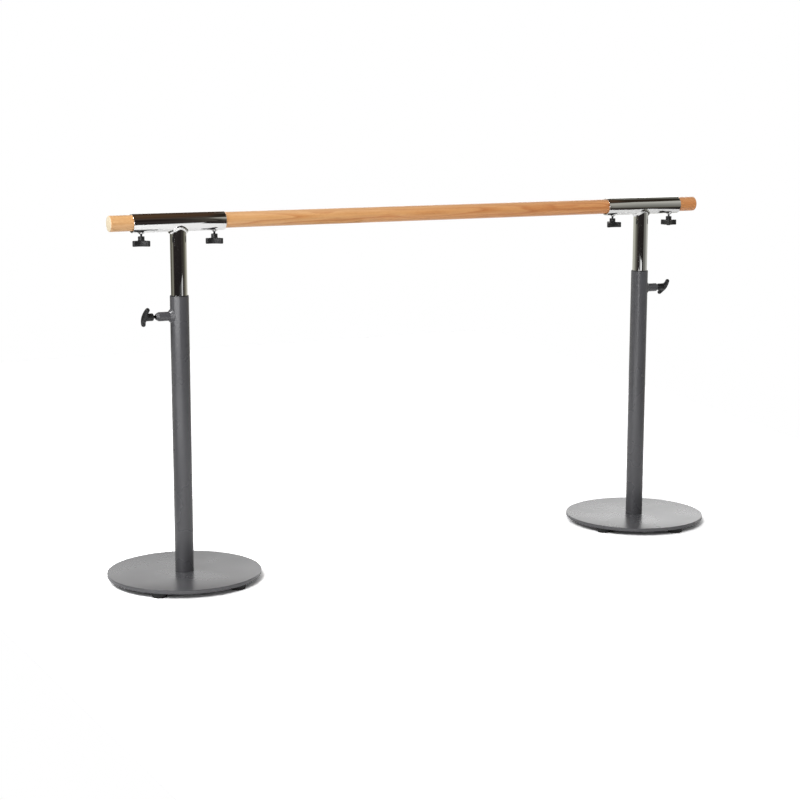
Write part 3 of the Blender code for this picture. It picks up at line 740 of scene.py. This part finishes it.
# %% [markdown]
# ## Rubber feet
# Five tapered rubber feet are bonded under the rim, so the heavy plate stands off the floor and shows a dark gap all
# round. Each is a half profile with a rounded lower edge and a slight waist, spun once and copied round the circle.

# %% Feet
FOOT_TURN = {"left": -6, "right": -28}
FOOT_CIRCLE = 174 * MM
FOOT_TOP_RADIUS, FOOT_FLOOR_RADIUS, FOOT_EDGE = 23 * MM, 19.5 * MM, 1.8 * MM
RECESS_RADIUS, RECESS_DEPTH = 12 * MM, 0.8 * MM
LETTERS = "abcde"

foot_top = PLATE_BOTTOM - 0.1 * MM
profile = [(0, foot_top), (FOOT_TOP_RADIUS - 0.6 * MM, foot_top), (FOOT_TOP_RADIUS, foot_top - 0.6 * MM)]
profile += [(FOOT_TOP_RADIUS - 0.3 * MM, foot_top - 2.4 * MM), (FOOT_TOP_RADIUS - 1.6 * MM, foot_top - 5 * MM)]
profile += arc((FOOT_FLOOR_RADIUS - FOOT_EDGE, FOOT_EDGE), FOOT_EDGE, 10, -90, 6)
profile += [(RECESS_RADIUS, 0), (RECESS_RADIUS - 1.5 * MM, RECESS_DEPTH), (0, RECESS_DEPTH)]
foot = smooth(turned("foot_model", profile, MEDIUM))
for side in STAND:
    for i, letter in enumerate(LETTERS):
        angle = math.radians(FOOT_TURN[side] - 90) + FULL_TURN / len(LETTERS) * (i - 0.5)
        spot = (STAND_X[side] + FOOT_CIRCLE * math.cos(angle), FOOT_CIRCLE * math.sin(angle), 0)
        name, node = f"rubber_foot_{letter}_{side}", f"foot_{letter}_{side}"
        put(foot, name, Matrix.Translation(spot), f"{side}_stand", RUBBER, node)
put_away(foot)

# %% [markdown]
# ## Bolt and washer under the plate
# One M12 bolt comes up through the plate into the plug in the column's foot. Only its head shows, from below. The
# hexagon is a six-sided cylinder, and its corners are cut by a wide cone, which is how a real head is turned.

# %% Bolt and washer
washer_low, washer_high = (corner[2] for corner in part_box("base_washer_left"))
bolt_low, bolt_high = (corner[2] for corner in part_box("base_bolt_left"))
WASHER_RADIUS = 18 * MM
BOLT_RADIUS, HEAD_FLATS = 6 * MM, 19 * MM
HEAD_CORNERS = HEAD_FLATS / math.sqrt(3)
# The cone leaves a round face this wide on the head, and reaches this far up its corners
FACE_SHARE, CONE_SHARE = 0.95, 0.66

profile = [(WASHER_RADIUS, washer_low), (WASHER_RADIUS, washer_high), (BOLT_HOLE, washer_high), (BOLT_HOLE, washer_low)]
washer = smooth(turned("washer_model", profile, COARSE, closed=True))
put_both(washer, "flat_washer_*", STAND_AXIS, "*_stand", BRIGHT_ZINC, "base_washer_*")

head_top = washer_low - 0.1 * MM
bolt = rod("bolt_model", HEAD_CORNERS, bolt_low, head_top, 6)
cone = [(0, head_top + MM), (HEAD_CORNERS * 1.5, head_top + MM)]
cone += [(HEAD_CORNERS * 1.5, bolt_low + HEAD_CORNERS * CONE_SHARE)]
cone += [(HEAD_FLATS / 2 * FACE_SHARE, bolt_low - 0.1 * MM), (0, bolt_low - 0.1 * MM)]
boolean(bolt, turned("bolt_cone", cone, COARSE), "INTERSECT")
boolean(bolt, rod("bolt_shank", BOLT_RADIUS, head_top - 2 * MM, bolt_high, COARSE), "UNION")
put_both(smooth(bolt), "hex_bolt_*", STAND_AXIS, "*_stand", BRIGHT_ZINC, "base_bolt_*")

# %% [markdown]
# ## Column
# A column is a length of round tube, 48.3 mm outside. Its cut ends are deburred, so the profile has small rounded
# corners, and a hole in its side lets the lock screw through to the post.

# %% Column
COLUMN_RADIUS, COLUMN_BORE = 24.15 * MM, 22.65 * MM
TUBE_EDGE = 0.4 * MM
LOCK_HOLE = 4.25 * MM


def tube_profile(radius, bore, low, high, edge):
    """A tube's wall, as the corners of its section with both outer corners rounded."""
    top = arc((radius - edge, high - edge), edge, 90, 0, 4)
    bottom = arc((radius - edge, low + edge), edge, 0, -90, 4)
    return top + bottom + [(bore, low), (bore, high)]


wall = tube_profile(COLUMN_RADIUS, COLUMN_BORE, COLUMN_FOOT, COLUMN_TOP, TUBE_EDGE)
column = turned("column_model", wall, FINE, closed=True)
boolean(column, shifted(rod("lock_hole", LOCK_HOLE, 15 * MM, 30 * MM, COARSE, along="X"), z=LOCK_HEIGHT), "DIFFERENCE")
put_both(smooth(column), "column_tube_*", STAND, "*_stand", POWDER, "column_*")

# %% [markdown]
# ## Guide ring
# The post slides in a black plastic ring that is pressed into the column's open top. Its flange covers the cut end of
# the tube and shows as the thin dark line under the chrome.

# %% Guide ring
FLANGE_RADIUS, RING_OUTSIDE, RING_BORE = 23.85 * MM, 22.35 * MM, 21.25 * MM
FLANGE_EDGE, RING_CHAMFER = 0.6 * MM, 0.3 * MM

flange_low = COLUMN_TOP + 0.1 * MM
profile = arc((FLANGE_RADIUS - FLANGE_EDGE, BUSH_TOP - FLANGE_EDGE), FLANGE_EDGE, 90, 0, 4)
profile += [(FLANGE_RADIUS, flange_low), (RING_OUTSIDE, flange_low), (RING_OUTSIDE, BUSH_FOOT), (RING_BORE, BUSH_FOOT)]
profile += [(RING_BORE, BUSH_TOP - RING_CHAMFER), (RING_BORE + RING_CHAMFER, BUSH_TOP)]
ring = smooth(turned("ring_model", profile, FINE, closed=True))
put_both(ring, "guide_ring_*", STAND, "*_stand", GUIDE_PLASTIC, "column_bush_*")

# %% [markdown]
# ## Weld where two tubes meet
# Where a round branch is welded to a round tube, a bead of weld fills the corner, with a crescent ripple for every
# drop of metal. It could be a bevel on the seam of a Boolean, but that leaves a ragged mesh that chrome would show at
# once. So a grid is added, and its points are moved to run from a line on the branch to a line on the main tube, with
# a crown and ripples between. Real ripples are 2 to 3 mm apart, finer than the picture can hold, so the biggest bead's
# are drawn at over 5 mm. The main tube lies along X and the branch leaves it along -Z.

# %% Weld bead
BEAD_ROOT = 0.4 * MM


def weld_ring(name, branch, main, down, reach, crown, ripple, ripples, around=720, across=14):
    """A closed ring of weld. It runs down the branch, and out along the main tube by (at the sides, at the front)."""
    nothing_selected()
    bpy.ops.mesh.primitive_grid_add(x_subdivisions=around, y_subdivisions=across + 1, size=1)
    piece = bpy.context.object
    piece.name = name
    for vertex in piece.data.vertices:
        turn = (vertex.co.x + 0.5) * FULL_TURN
        row = round((vertex.co.y + 0.5) * (across + 1))
        out = Vector((math.cos(turn), math.sin(turn), 0))

        def on_tube(tube, radius):
            spot = out * radius
            return spot - Vector((0, 0, math.sqrt(tube**2 - spot.y**2)))

        if row in (0, across + 1):
            # The hidden corner behind the bead, a little inside both tubes
            vertex.co = on_tube(main - BEAD_ROOT, branch - BEAD_ROOT)
            continue
        seam = on_tube(main, branch)
        steepness = branch * out.y**2 / -seam.z
        width = reach[0] * out.x**2 + reach[1] * out.y**2
        on_main = on_tube(main, branch + width / math.hypot(1, steepness))
        on_branch = seam - Vector((0, 0, down))
        chord = on_main - on_branch
        away = (out * chord.z - Vector((0, 0, chord.dot(out)))).normalized()
        share = (row - 1) / (across - 1)
        hump = 4 * share * (1 - share)
        # A hand never moves evenly, so the ripples crowd and spread a little, and each is curved
        wave = math.sin(ripples * turn + 1.3 * math.sin(3 * turn) + 2.2 * hump)
        vertex.co = on_branch.lerp(on_main, share) + away * (crown * hump + ripple * wave * min(1, 2 * hump))
    take(piece)
    bpy.ops.object.mode_set(mode="EDIT")
    leave_clean()
    return piece


DOWN_TO_OUT = Matrix(((0, 0, -1, 0), (0, 1, 0, 0), (1, 0, 0, 0), (0, 0, 0, 1)))
print("a weld's branch turned from down to out:", DOWN_TO_OUT @ Vector((0, 0, -1)))

# %% [markdown]
# ## Lock boss
# The boss is a threaded stub of round bar, welded to the column's side and coated with it. It is turned with a long
# chamfer at its tip, its root is cut to the column's round, and a weld with slight ripples runs round it.

# %% Lock boss
BOSS_RADIUS, BOSS_TIP_RADIUS, BOSS_LENGTH, BOSS_CHAMFER = 11.7 * MM, 7.8 * MM, 40 * MM, 7 * MM
BOSS_WELD, BOSS_CROWN, BOSS_RIPPLE, BOSS_RIPPLES = 6.5 * MM, 0.1 * MM, 0.1 * MM, 22
BOSS_ROOT = 12 * MM

boss_tip = COLUMN_RADIUS + BOSS_LENGTH
shoulder = boss_tip - BOSS_CHAMFER
profile = [(LOCK_HOLE, boss_tip), (BOSS_TIP_RADIUS - 0.3 * MM, boss_tip), (BOSS_TIP_RADIUS, boss_tip - 0.3 * MM)]
profile += [(BOSS_RADIUS - 0.35 * MM, shoulder + 0.5 * MM), (BOSS_RADIUS - 0.08 * MM, shoulder + 0.1 * MM)]
profile += [(BOSS_RADIUS, shoulder - 0.4 * MM), (BOSS_RADIUS, BOSS_ROOT), (LOCK_HOLE, BOSS_ROOT)]
boss = turned("boss_model", profile, MEDIUM, along="X", closed=True)
boolean(boss, rod("boss_saddle", COLUMN_RADIUS + FIT, -30 * MM, 30 * MM, FINE), "DIFFERENCE")
bead = (BOSS_WELD, (BOSS_WELD, BOSS_WELD), BOSS_CROWN, BOSS_RIPPLE, BOSS_RIPPLES)
weld = weld_ring("boss_weld", BOSS_RADIUS, COLUMN_RADIUS, *bead, around=408)
weld.data.transform(DOWN_TO_OUT)
smooth(joined(boss, weld), 40)
put_both(boss, "lock_boss_*_welded", on_stands(LOCK_HEIGHT), "*_stand", POWDER, "lock_boss_*")

# %% [markdown]
# ## Screw threads
# The lock screws are M8 and the clamp screws M6. A thread could be rings cut in a rod, but a real one is a helix, and
# Blender's Screw modifier makes it: a chain with one 60 degree ridge per pitch turns once and climbs one pitch, so
# each ridge meets the next. Bisect with fill then cuts both ends square.

# %% Threads
def threaded(name, diameter, pitch, length, steps=24):
    """A threaded rod along X, from 0 to its length."""
    crest, root = diameter / 2, diameter / 2 - 0.61 * pitch
    ridge = [(crest, 0.0), (crest, 0.125), (root, 0.44), (root, 0.69)]
    turns = math.ceil(length / pitch) + 2
    spots = [Vector(((turn - 1 + at) * pitch, 0, radius)) for turn in range(turns) for radius, at in ridge]
    piece = chain(name, spots)
    bpy.ops.object.mode_set(mode="OBJECT")
    screw = piece.modifiers.new("helix", "SCREW")
    screw.axis, screw.angle, screw.screw_offset = "X", FULL_TURN, pitch
    screw.steps = screw.render_steps = steps
    apply_last(piece)
    bpy.ops.object.mode_set(mode="EDIT")
    bpy.ops.mesh.select_all(action="SELECT")
    bpy.ops.mesh.remove_doubles(threshold=SAME_POINT)
    for end, side in ((0, -1), (length, 1)):
        bpy.ops.mesh.select_all(action="SELECT")
        bpy.ops.mesh.bisect(plane_co=(end, 0, 0), plane_no=(side, 0, 0), use_fill=True, clear_outer=True)
    bpy.ops.mesh.select_all(action="SELECT")
    bpy.ops.mesh.normals_make_consistent(inside=False)
    bpy.ops.object.mode_set(mode="OBJECT")
    return smooth(piece, 25)


M8, M6 = (8 * MM, 1.25 * MM), (6 * MM, 1 * MM)
LOCK_STUD_START = 27.6 * MM
LOCK_STUD_LENGTH = {"left": 61.75 * MM, "right": 55.75 * MM}
for side, place in on_stands(LOCK_HEIGHT, LOCK_STUD_START).items():
    stud = threaded(f"lock_stud_model_{side}", *M8, LOCK_STUD_LENGTH[side])
    put(stud, f"lock_thread_{side}", place, f"{side}_lock_screw", BLACK_ZINC, f"lock_stud_{side}")
    put_away(stud)

# %% [markdown]
# ## Wing knob
# The lock screw's knob is a thick bow with two round ends on a short hub, moulded in one piece with every corner
# melted into the next. Modelling clay suits it: balls along the bow and a turned hub are pushed together, a voxel
# remesh makes one skin of them, and a Smooth modifier softens the creases. The bore is cut last, so it stays sharp.

# %% Wing knob
KNOB_LENGTH, HUB_RADIUS, HUB_SHOULDER = 30.5 * MM, 9.8 * MM, 19 * MM
BOW_REACH, BOW_SWEEP = 26 * MM, 4.6 * MM
BOW_MIDDLE, BOW_NECK, BOW_TIP = 8.6 * MM, 6.3 * MM, 5.9 * MM
NECK_AT = 0.7
BALLS = 33
SKIN_GRAIN = 0.55 * MM
KNOB_BORE, KNOB_BORE_DEPTH = 4.3 * MM, 18 * MM
# Degrees about the screw, as each stand's own X points
WING_TURN = {"left": -39, "right": 46}
HUB_START = {"left": 71.65 * MM, "right": 65.65 * MM}


def eased(start, end, share):
    return start + (end - start) * share * share * (3 - 2 * share)


profile = [(0, 0), (HUB_RADIUS - 1.2 * MM, 0), (HUB_RADIUS, 1.4 * MM), (HUB_RADIUS, HUB_SHOULDER)]
profile += arc((0, HUB_SHOULDER), HUB_RADIUS, 15, 90, 8)
knob = turned("wing_knob_model", profile, COARSE, along="X")
for i in range(BALLS):
    share = 2 * i / (BALLS - 1) - 1
    if abs(share) < NECK_AT:
        radius = eased(BOW_MIDDLE, BOW_NECK, abs(share) / NECK_AT)
    else:
        radius = eased(BOW_NECK, BOW_TIP, (abs(share) - NECK_AT) / (1 - NECK_AT))
    spot = (KNOB_LENGTH - BOW_SWEEP * share**2 - radius, 0, BOW_REACH * share)
    nothing_selected()
    bpy.ops.mesh.primitive_uv_sphere_add(segments=32, ring_count=20, radius=radius, location=spot)
    ball = bpy.context.object
    bpy.ops.object.transform_apply(location=True)
    joined(knob, ball)
remesh = knob.modifiers.new("skin", "REMESH")
remesh.mode, remesh.voxel_size = "VOXEL", SKIN_GRAIN
apply_last(knob)
soften = knob.modifiers.new("soften", "SMOOTH")
soften.factor, soften.iterations = 0.5, 14
apply_last(knob)
boolean(knob, rod("knob_end", 14 * MM, -3 * MM, 0.25 * MM, COARSE, along="X"), "DIFFERENCE")
boolean(knob, rod("knob_bore", KNOB_BORE, -1 * MM, KNOB_BORE_DEPTH, COARSE, along="X"), "DIFFERENCE")
smooth(knob, 40)
hubs = {
    side: on_stands(LOCK_HEIGHT, HUB_START[side])[side] @ Matrix.Rotation(math.radians(WING_TURN[side]), 4, "X")
    for side in STAND
}
put_both(knob, "wing_knob_*", hubs, "*_lock_screw", KNOB_PLASTIC, "lock_knob_*")

# %% [markdown]
# ## Chrome post
# The post is 42 mm tube. Its top is cut to the round underside of the sleeve and welded on. The bead is only brushed
# before plating, so it sparkles where the smooth tubes don't.

# %% Post
POST_RADIUS, POST_BORE = 21 * MM, 19.5 * MM
SLEEVE_RADIUS, SLEEVE_BORE = 24 * MM, 21.5 * MM
POST_WELD, POST_WELD_REACH = 6.5 * MM, (6 * MM, 3.5 * MM)
POST_CROWN, POST_RIPPLE, POST_RIPPLES = 0.8 * MM, 0.15 * MM, 24

wall = tube_profile(POST_RADIUS, POST_BORE, POST_FOOT, SLEEVE_HEIGHT, TUBE_EDGE)
post = turned("post_model", wall, FINE, closed=True)
saddle = rod("post_saddle", SLEEVE_RADIUS + FIT, -40 * MM, 40 * MM, FINE, along="X")
boolean(post, shifted(saddle, z=SLEEVE_HEIGHT), "DIFFERENCE")
bead = (POST_WELD, POST_WELD_REACH, POST_CROWN, POST_RIPPLE, POST_RIPPLES)
weld = weld_ring("post_weld", POST_RADIUS, SLEEVE_RADIUS, *bead)
smooth(joined(post, shifted(weld, z=SLEEVE_HEIGHT)))
put_both(post, "chrome_post_*", STAND, "*_tee", CHROME, "post_*")

# %% [markdown]
# ## Chrome sleeve
# The sleeve is a short length of thicker tube across the post's top. The bar slides through it, and two holes in its
# underside let the clamp screws reach the wood. The bright rings at its ends are the rounded cut faces of the wall.

# %% Sleeve
SLEEVE_HALF, SLEEVE_EDGE = 123.5 * MM, 0.7 * MM
CLAMP_OFFSET = 98 * MM
CLAMP_HOLE = 3.25 * MM

wall = tube_profile(SLEEVE_RADIUS, SLEEVE_BORE, -SLEEVE_HALF, SLEEVE_HALF, SLEEVE_EDGE)
sleeve = turned("sleeve_model", wall, FINE, along="X", closed=True)
for offset in (-CLAMP_OFFSET, CLAMP_OFFSET):
    boolean(sleeve, shifted(rod("clamp_hole", CLAMP_HOLE, -30 * MM, -12 * MM, COARSE), x=offset), "DIFFERENCE")
put_both(smooth(sleeve), "chrome_sleeve_*", on_stands(SLEEVE_HEIGHT), "*_tee", CHROME, "sleeve_*")

# %% [markdown]
# ## Clamp bosses, screws and knobs
# Under each end of the sleeve sits a small conical boss for an M6 screw. The screw's knob has three round lobes that
# fill the hand: a disc whose outline is drawn in and out, thickened and bevelled, with a short hub on top.

# %% Clamp bosses and screws
CLAMP_BOSS_RADIUS, CLAMP_BOSS_TIP, CLAMP_BOSS_HEIGHT = 7 * MM, 5 * MM, 3.5 * MM
CLAMP_BOSS_TOP = -20 * MM
CLAMP_WELD, CLAMP_CROWN, CLAMP_RIPPLE, CLAMP_RIPPLES = 2 * MM, 0.1 * MM, 0.06 * MM, 20

boss_floor = -SLEEVE_RADIUS - CLAMP_BOSS_HEIGHT
profile = [(CLAMP_HOLE, CLAMP_BOSS_TOP), (CLAMP_BOSS_RADIUS, CLAMP_BOSS_TOP)]
profile += [(CLAMP_BOSS_RADIUS, -SLEEVE_RADIUS - 0.4 * MM), (CLAMP_BOSS_TIP + 0.4 * MM, boss_floor + 0.3 * MM)]
profile += [(CLAMP_BOSS_TIP, boss_floor), (CLAMP_HOLE, boss_floor)]
clamp_boss = turned("clamp_boss_model", profile, MEDIUM, closed=True)
saddle = rod("clamp_saddle", SLEEVE_RADIUS + FIT, -20 * MM, 20 * MM, FINE, along="X")
boolean(clamp_boss, saddle, "DIFFERENCE")
bead = (CLAMP_WELD, (CLAMP_WELD, CLAMP_WELD), CLAMP_CROWN, CLAMP_RIPPLE, CLAMP_RIPPLES)
weld = weld_ring("clamp_weld", CLAMP_BOSS_RADIUS, SLEEVE_RADIUS, *bead, around=240, across=8)
smooth(joined(clamp_boss, weld))

clamp_low, clamp_high = (corner[2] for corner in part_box("clamp_stud_outer_left"))
clamp_stud = threaded("clamp_stud_model", *M6, clamp_high - clamp_low)
clamp_stud.data.transform(Matrix.Translation((0, 0, clamp_low)) @ Matrix.Rotation(-math.pi / 2, 4, "Y"))

CLAMPS = [
    (side, where, STAND_X[side] + sign * CLAMP_OFFSET)
    for side, outwards in (("left", -1), ("right", 1))
    for where, sign in (("outer", outwards), ("inner", -outwards))
]
for side, where, x in CLAMPS:
    end = f"{where}_{side}"
    place = Matrix.Translation((x, 0, SLEEVE_HEIGHT))
    put(clamp_boss, f"clamp_nut_{end}", place, f"{side}_tee", CHROME, f"clamp_boss_{end}")
    place = Matrix.Translation((x, 0, 0))
    put(clamp_stud, f"clamp_thread_{end}", place, f"{side}_{where}_clamp_screw", BLACK_ZINC, f"clamp_stud_{end}")
put_away(clamp_boss)
put_away(clamp_stud)

# %% Lobed knob
LOBES = 3
LOBE_REACH, LOBE_RADIUS, LOBE_WAIST = 19.8 * MM, 5.1 * MM, 9.5 * MM
LOBE_HEIGHT, LOBE_EDGE = 14.5 * MM, 1.6 * MM
RIM_WIDTH, RIM_SLOPE, RIM_DEPTH = 1.2 * MM, 0.4 * MM, 0.4 * MM
CLAMP_HUB_RADIUS, CLAMP_HUB_HEIGHT, HUB_EDGE, HUB_FILLET = 8.3 * MM, 10.5 * MM, 1 * MM, 1.2 * MM
CLAMP_BORE, CLAMP_BORE_DEPTH = 3.3 * MM, 16 * MM
LOBE_TURN = {"left_outer": 71, "left_inner": 68, "right_inner": -34, "right_outer": -126}


def lobe_outline():
    """Round lobes joined by hollows that touch them smoothly and come in as far as the waist."""
    half = math.pi / LOBES
    slack = LOBE_RADIUS - LOBE_WAIST
    hollow_reach = (LOBE_REACH**2 - slack**2) / (2 * (LOBE_REACH * math.cos(half) + slack))
    to_hollow = (hollow_reach * math.cos(half) - LOBE_REACH, hollow_reach * math.sin(half))
    meet = math.degrees(math.atan2(to_hollow[1], to_hollow[0]))
    points = []
    for lobe in (360 * i / LOBES for i in range(LOBES)):
        a, b = math.radians(lobe), math.radians(lobe) + half
        points += arc((LOBE_REACH * math.cos(a), LOBE_REACH * math.sin(a)), LOBE_RADIUS, lobe - meet, lobe + meet, 20)
        between = lobe + 180 / LOBES
        first, last = lobe + meet + 180, 2 * between - lobe - meet + 180
        centre = (hollow_reach * math.cos(b), hollow_reach * math.sin(b))
        points += arc(centre, hollow_reach - LOBE_WAIST, first, last, 12)[1:-1]
    return points


outline = lobe_outline()
clamp_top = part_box("clamp_knob_outer_left")[1][2]
lobes_top = clamp_top - CLAMP_HUB_HEIGHT
nothing_selected()
bpy.ops.mesh.primitive_circle_add(vertices=len(outline), radius=LOBE_REACH, fill_type="NGON", location=(0, 0, 0))
knob = bpy.context.object
knob.name = "lobed_knob_model"
for vertex, (x, y) in zip(knob.data.vertices, outline):
    vertex.co = (x, y, lobes_top - LOBE_HEIGHT)
bpy.ops.object.mode_set(mode="EDIT")
bpy.ops.mesh.select_all(action="SELECT")
bpy.ops.mesh.extrude_region_move(TRANSFORM_OT_translate={"value": (0, 0, LOBE_HEIGHT)})
bpy.ops.mesh.select_all(action="SELECT")
bpy.ops.mesh.normals_make_consistent(inside=False)
pick("EDGE", level)
bpy.ops.mesh.bevel(offset=LOBE_EDGE, segments=5)
pick("FACE", lambda face: len(face.verts) > 8 and face.normal.z < -0.9)
bpy.ops.mesh.inset(thickness=RIM_WIDTH)
bpy.ops.mesh.inset(thickness=RIM_SLOPE, depth=-RIM_DEPTH)
bpy.ops.object.mode_set(mode="OBJECT")

fillet = CLAMP_HUB_RADIUS + HUB_FILLET
profile = [(0, clamp_top), (CLAMP_HUB_RADIUS - HUB_EDGE, clamp_top)]
profile += arc((CLAMP_HUB_RADIUS - HUB_EDGE, clamp_top - HUB_EDGE), HUB_EDGE, 70, 0, 3)
profile += [(CLAMP_HUB_RADIUS, lobes_top + HUB_FILLET), (fillet, lobes_top), (fillet, lobes_top - 2 * MM)]
profile += [(0, lobes_top - 2 * MM)]
boolean(knob, turned("clamp_hub", profile, COARSE), "UNION")
bore = rod("clamp_bore", CLAMP_BORE, clamp_top - CLAMP_BORE_DEPTH, clamp_top + MM, COARSE)
smooth(boolean(knob, bore, "DIFFERENCE"))
for side, where, x in CLAMPS:
    turn = Matrix.Rotation(math.radians(LOBE_TURN[f"{side}_{where}"]), 4, "Z")
    place = Matrix.Translation((x, 0, 0)) @ turn
    end = f"{where}_{side}"
    put(knob, f"lobe_knob_{end}", place, f"{side}_{where}_clamp_screw", KNOB_PLASTIC, f"clamp_knob_{end}")
put_away(knob)

# %% [markdown]
# ## The bar
# A 1.78 m length of turned beech, 40.5 mm thick. Its ends are rounded over so that no sharp rim meets the hand.

# %% Bar
BAR_HALF, BAR_RADIUS, BAR_EDGE = 890 * MM, 20.25 * MM, 2 * MM

profile = [(0, BAR_HALF)] + arc((BAR_RADIUS - BAR_EDGE, BAR_HALF - BAR_EDGE), BAR_EDGE, 90, 0, 8)
profile += arc((BAR_RADIUS - BAR_EDGE, BAR_EDGE - BAR_HALF), BAR_EDGE, 0, -90, 8) + [(0, -BAR_HALF)]
bar = smooth(turned("bar_model", profile, FINE, along="X"))
put(bar, "beech_bar", Matrix.Translation((0, 0, BAR_HEIGHT)), "bar", BEECH, "bar")
put_away(bar)

# %% [markdown]
# ## Pieces that stay hidden
# The plug in the column's foot, the glide on the post's lower end and the plain tips of the screws are never seen from
# outside. Their CAD solids are right as they are, so they only get their finish.

# %% Finishes on the carried solids
CARRIED = {"column_plug": BRIGHT_ZINC, "post_glide": GUIDE_PLASTIC, "lock_pad": NYLON}
CARRIED |= {"clamp_pad_outer": NYLON, "clamp_pad_inner": NYLON}
for kind, (slot, material) in CARRIED.items():
    for side in STAND:
        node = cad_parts[f"{kind}_{side}"]
        node.data.materials.clear()
        node.data.materials.append(material)
print("finished", len(STAND) * len(CARRIED), "carried solids")
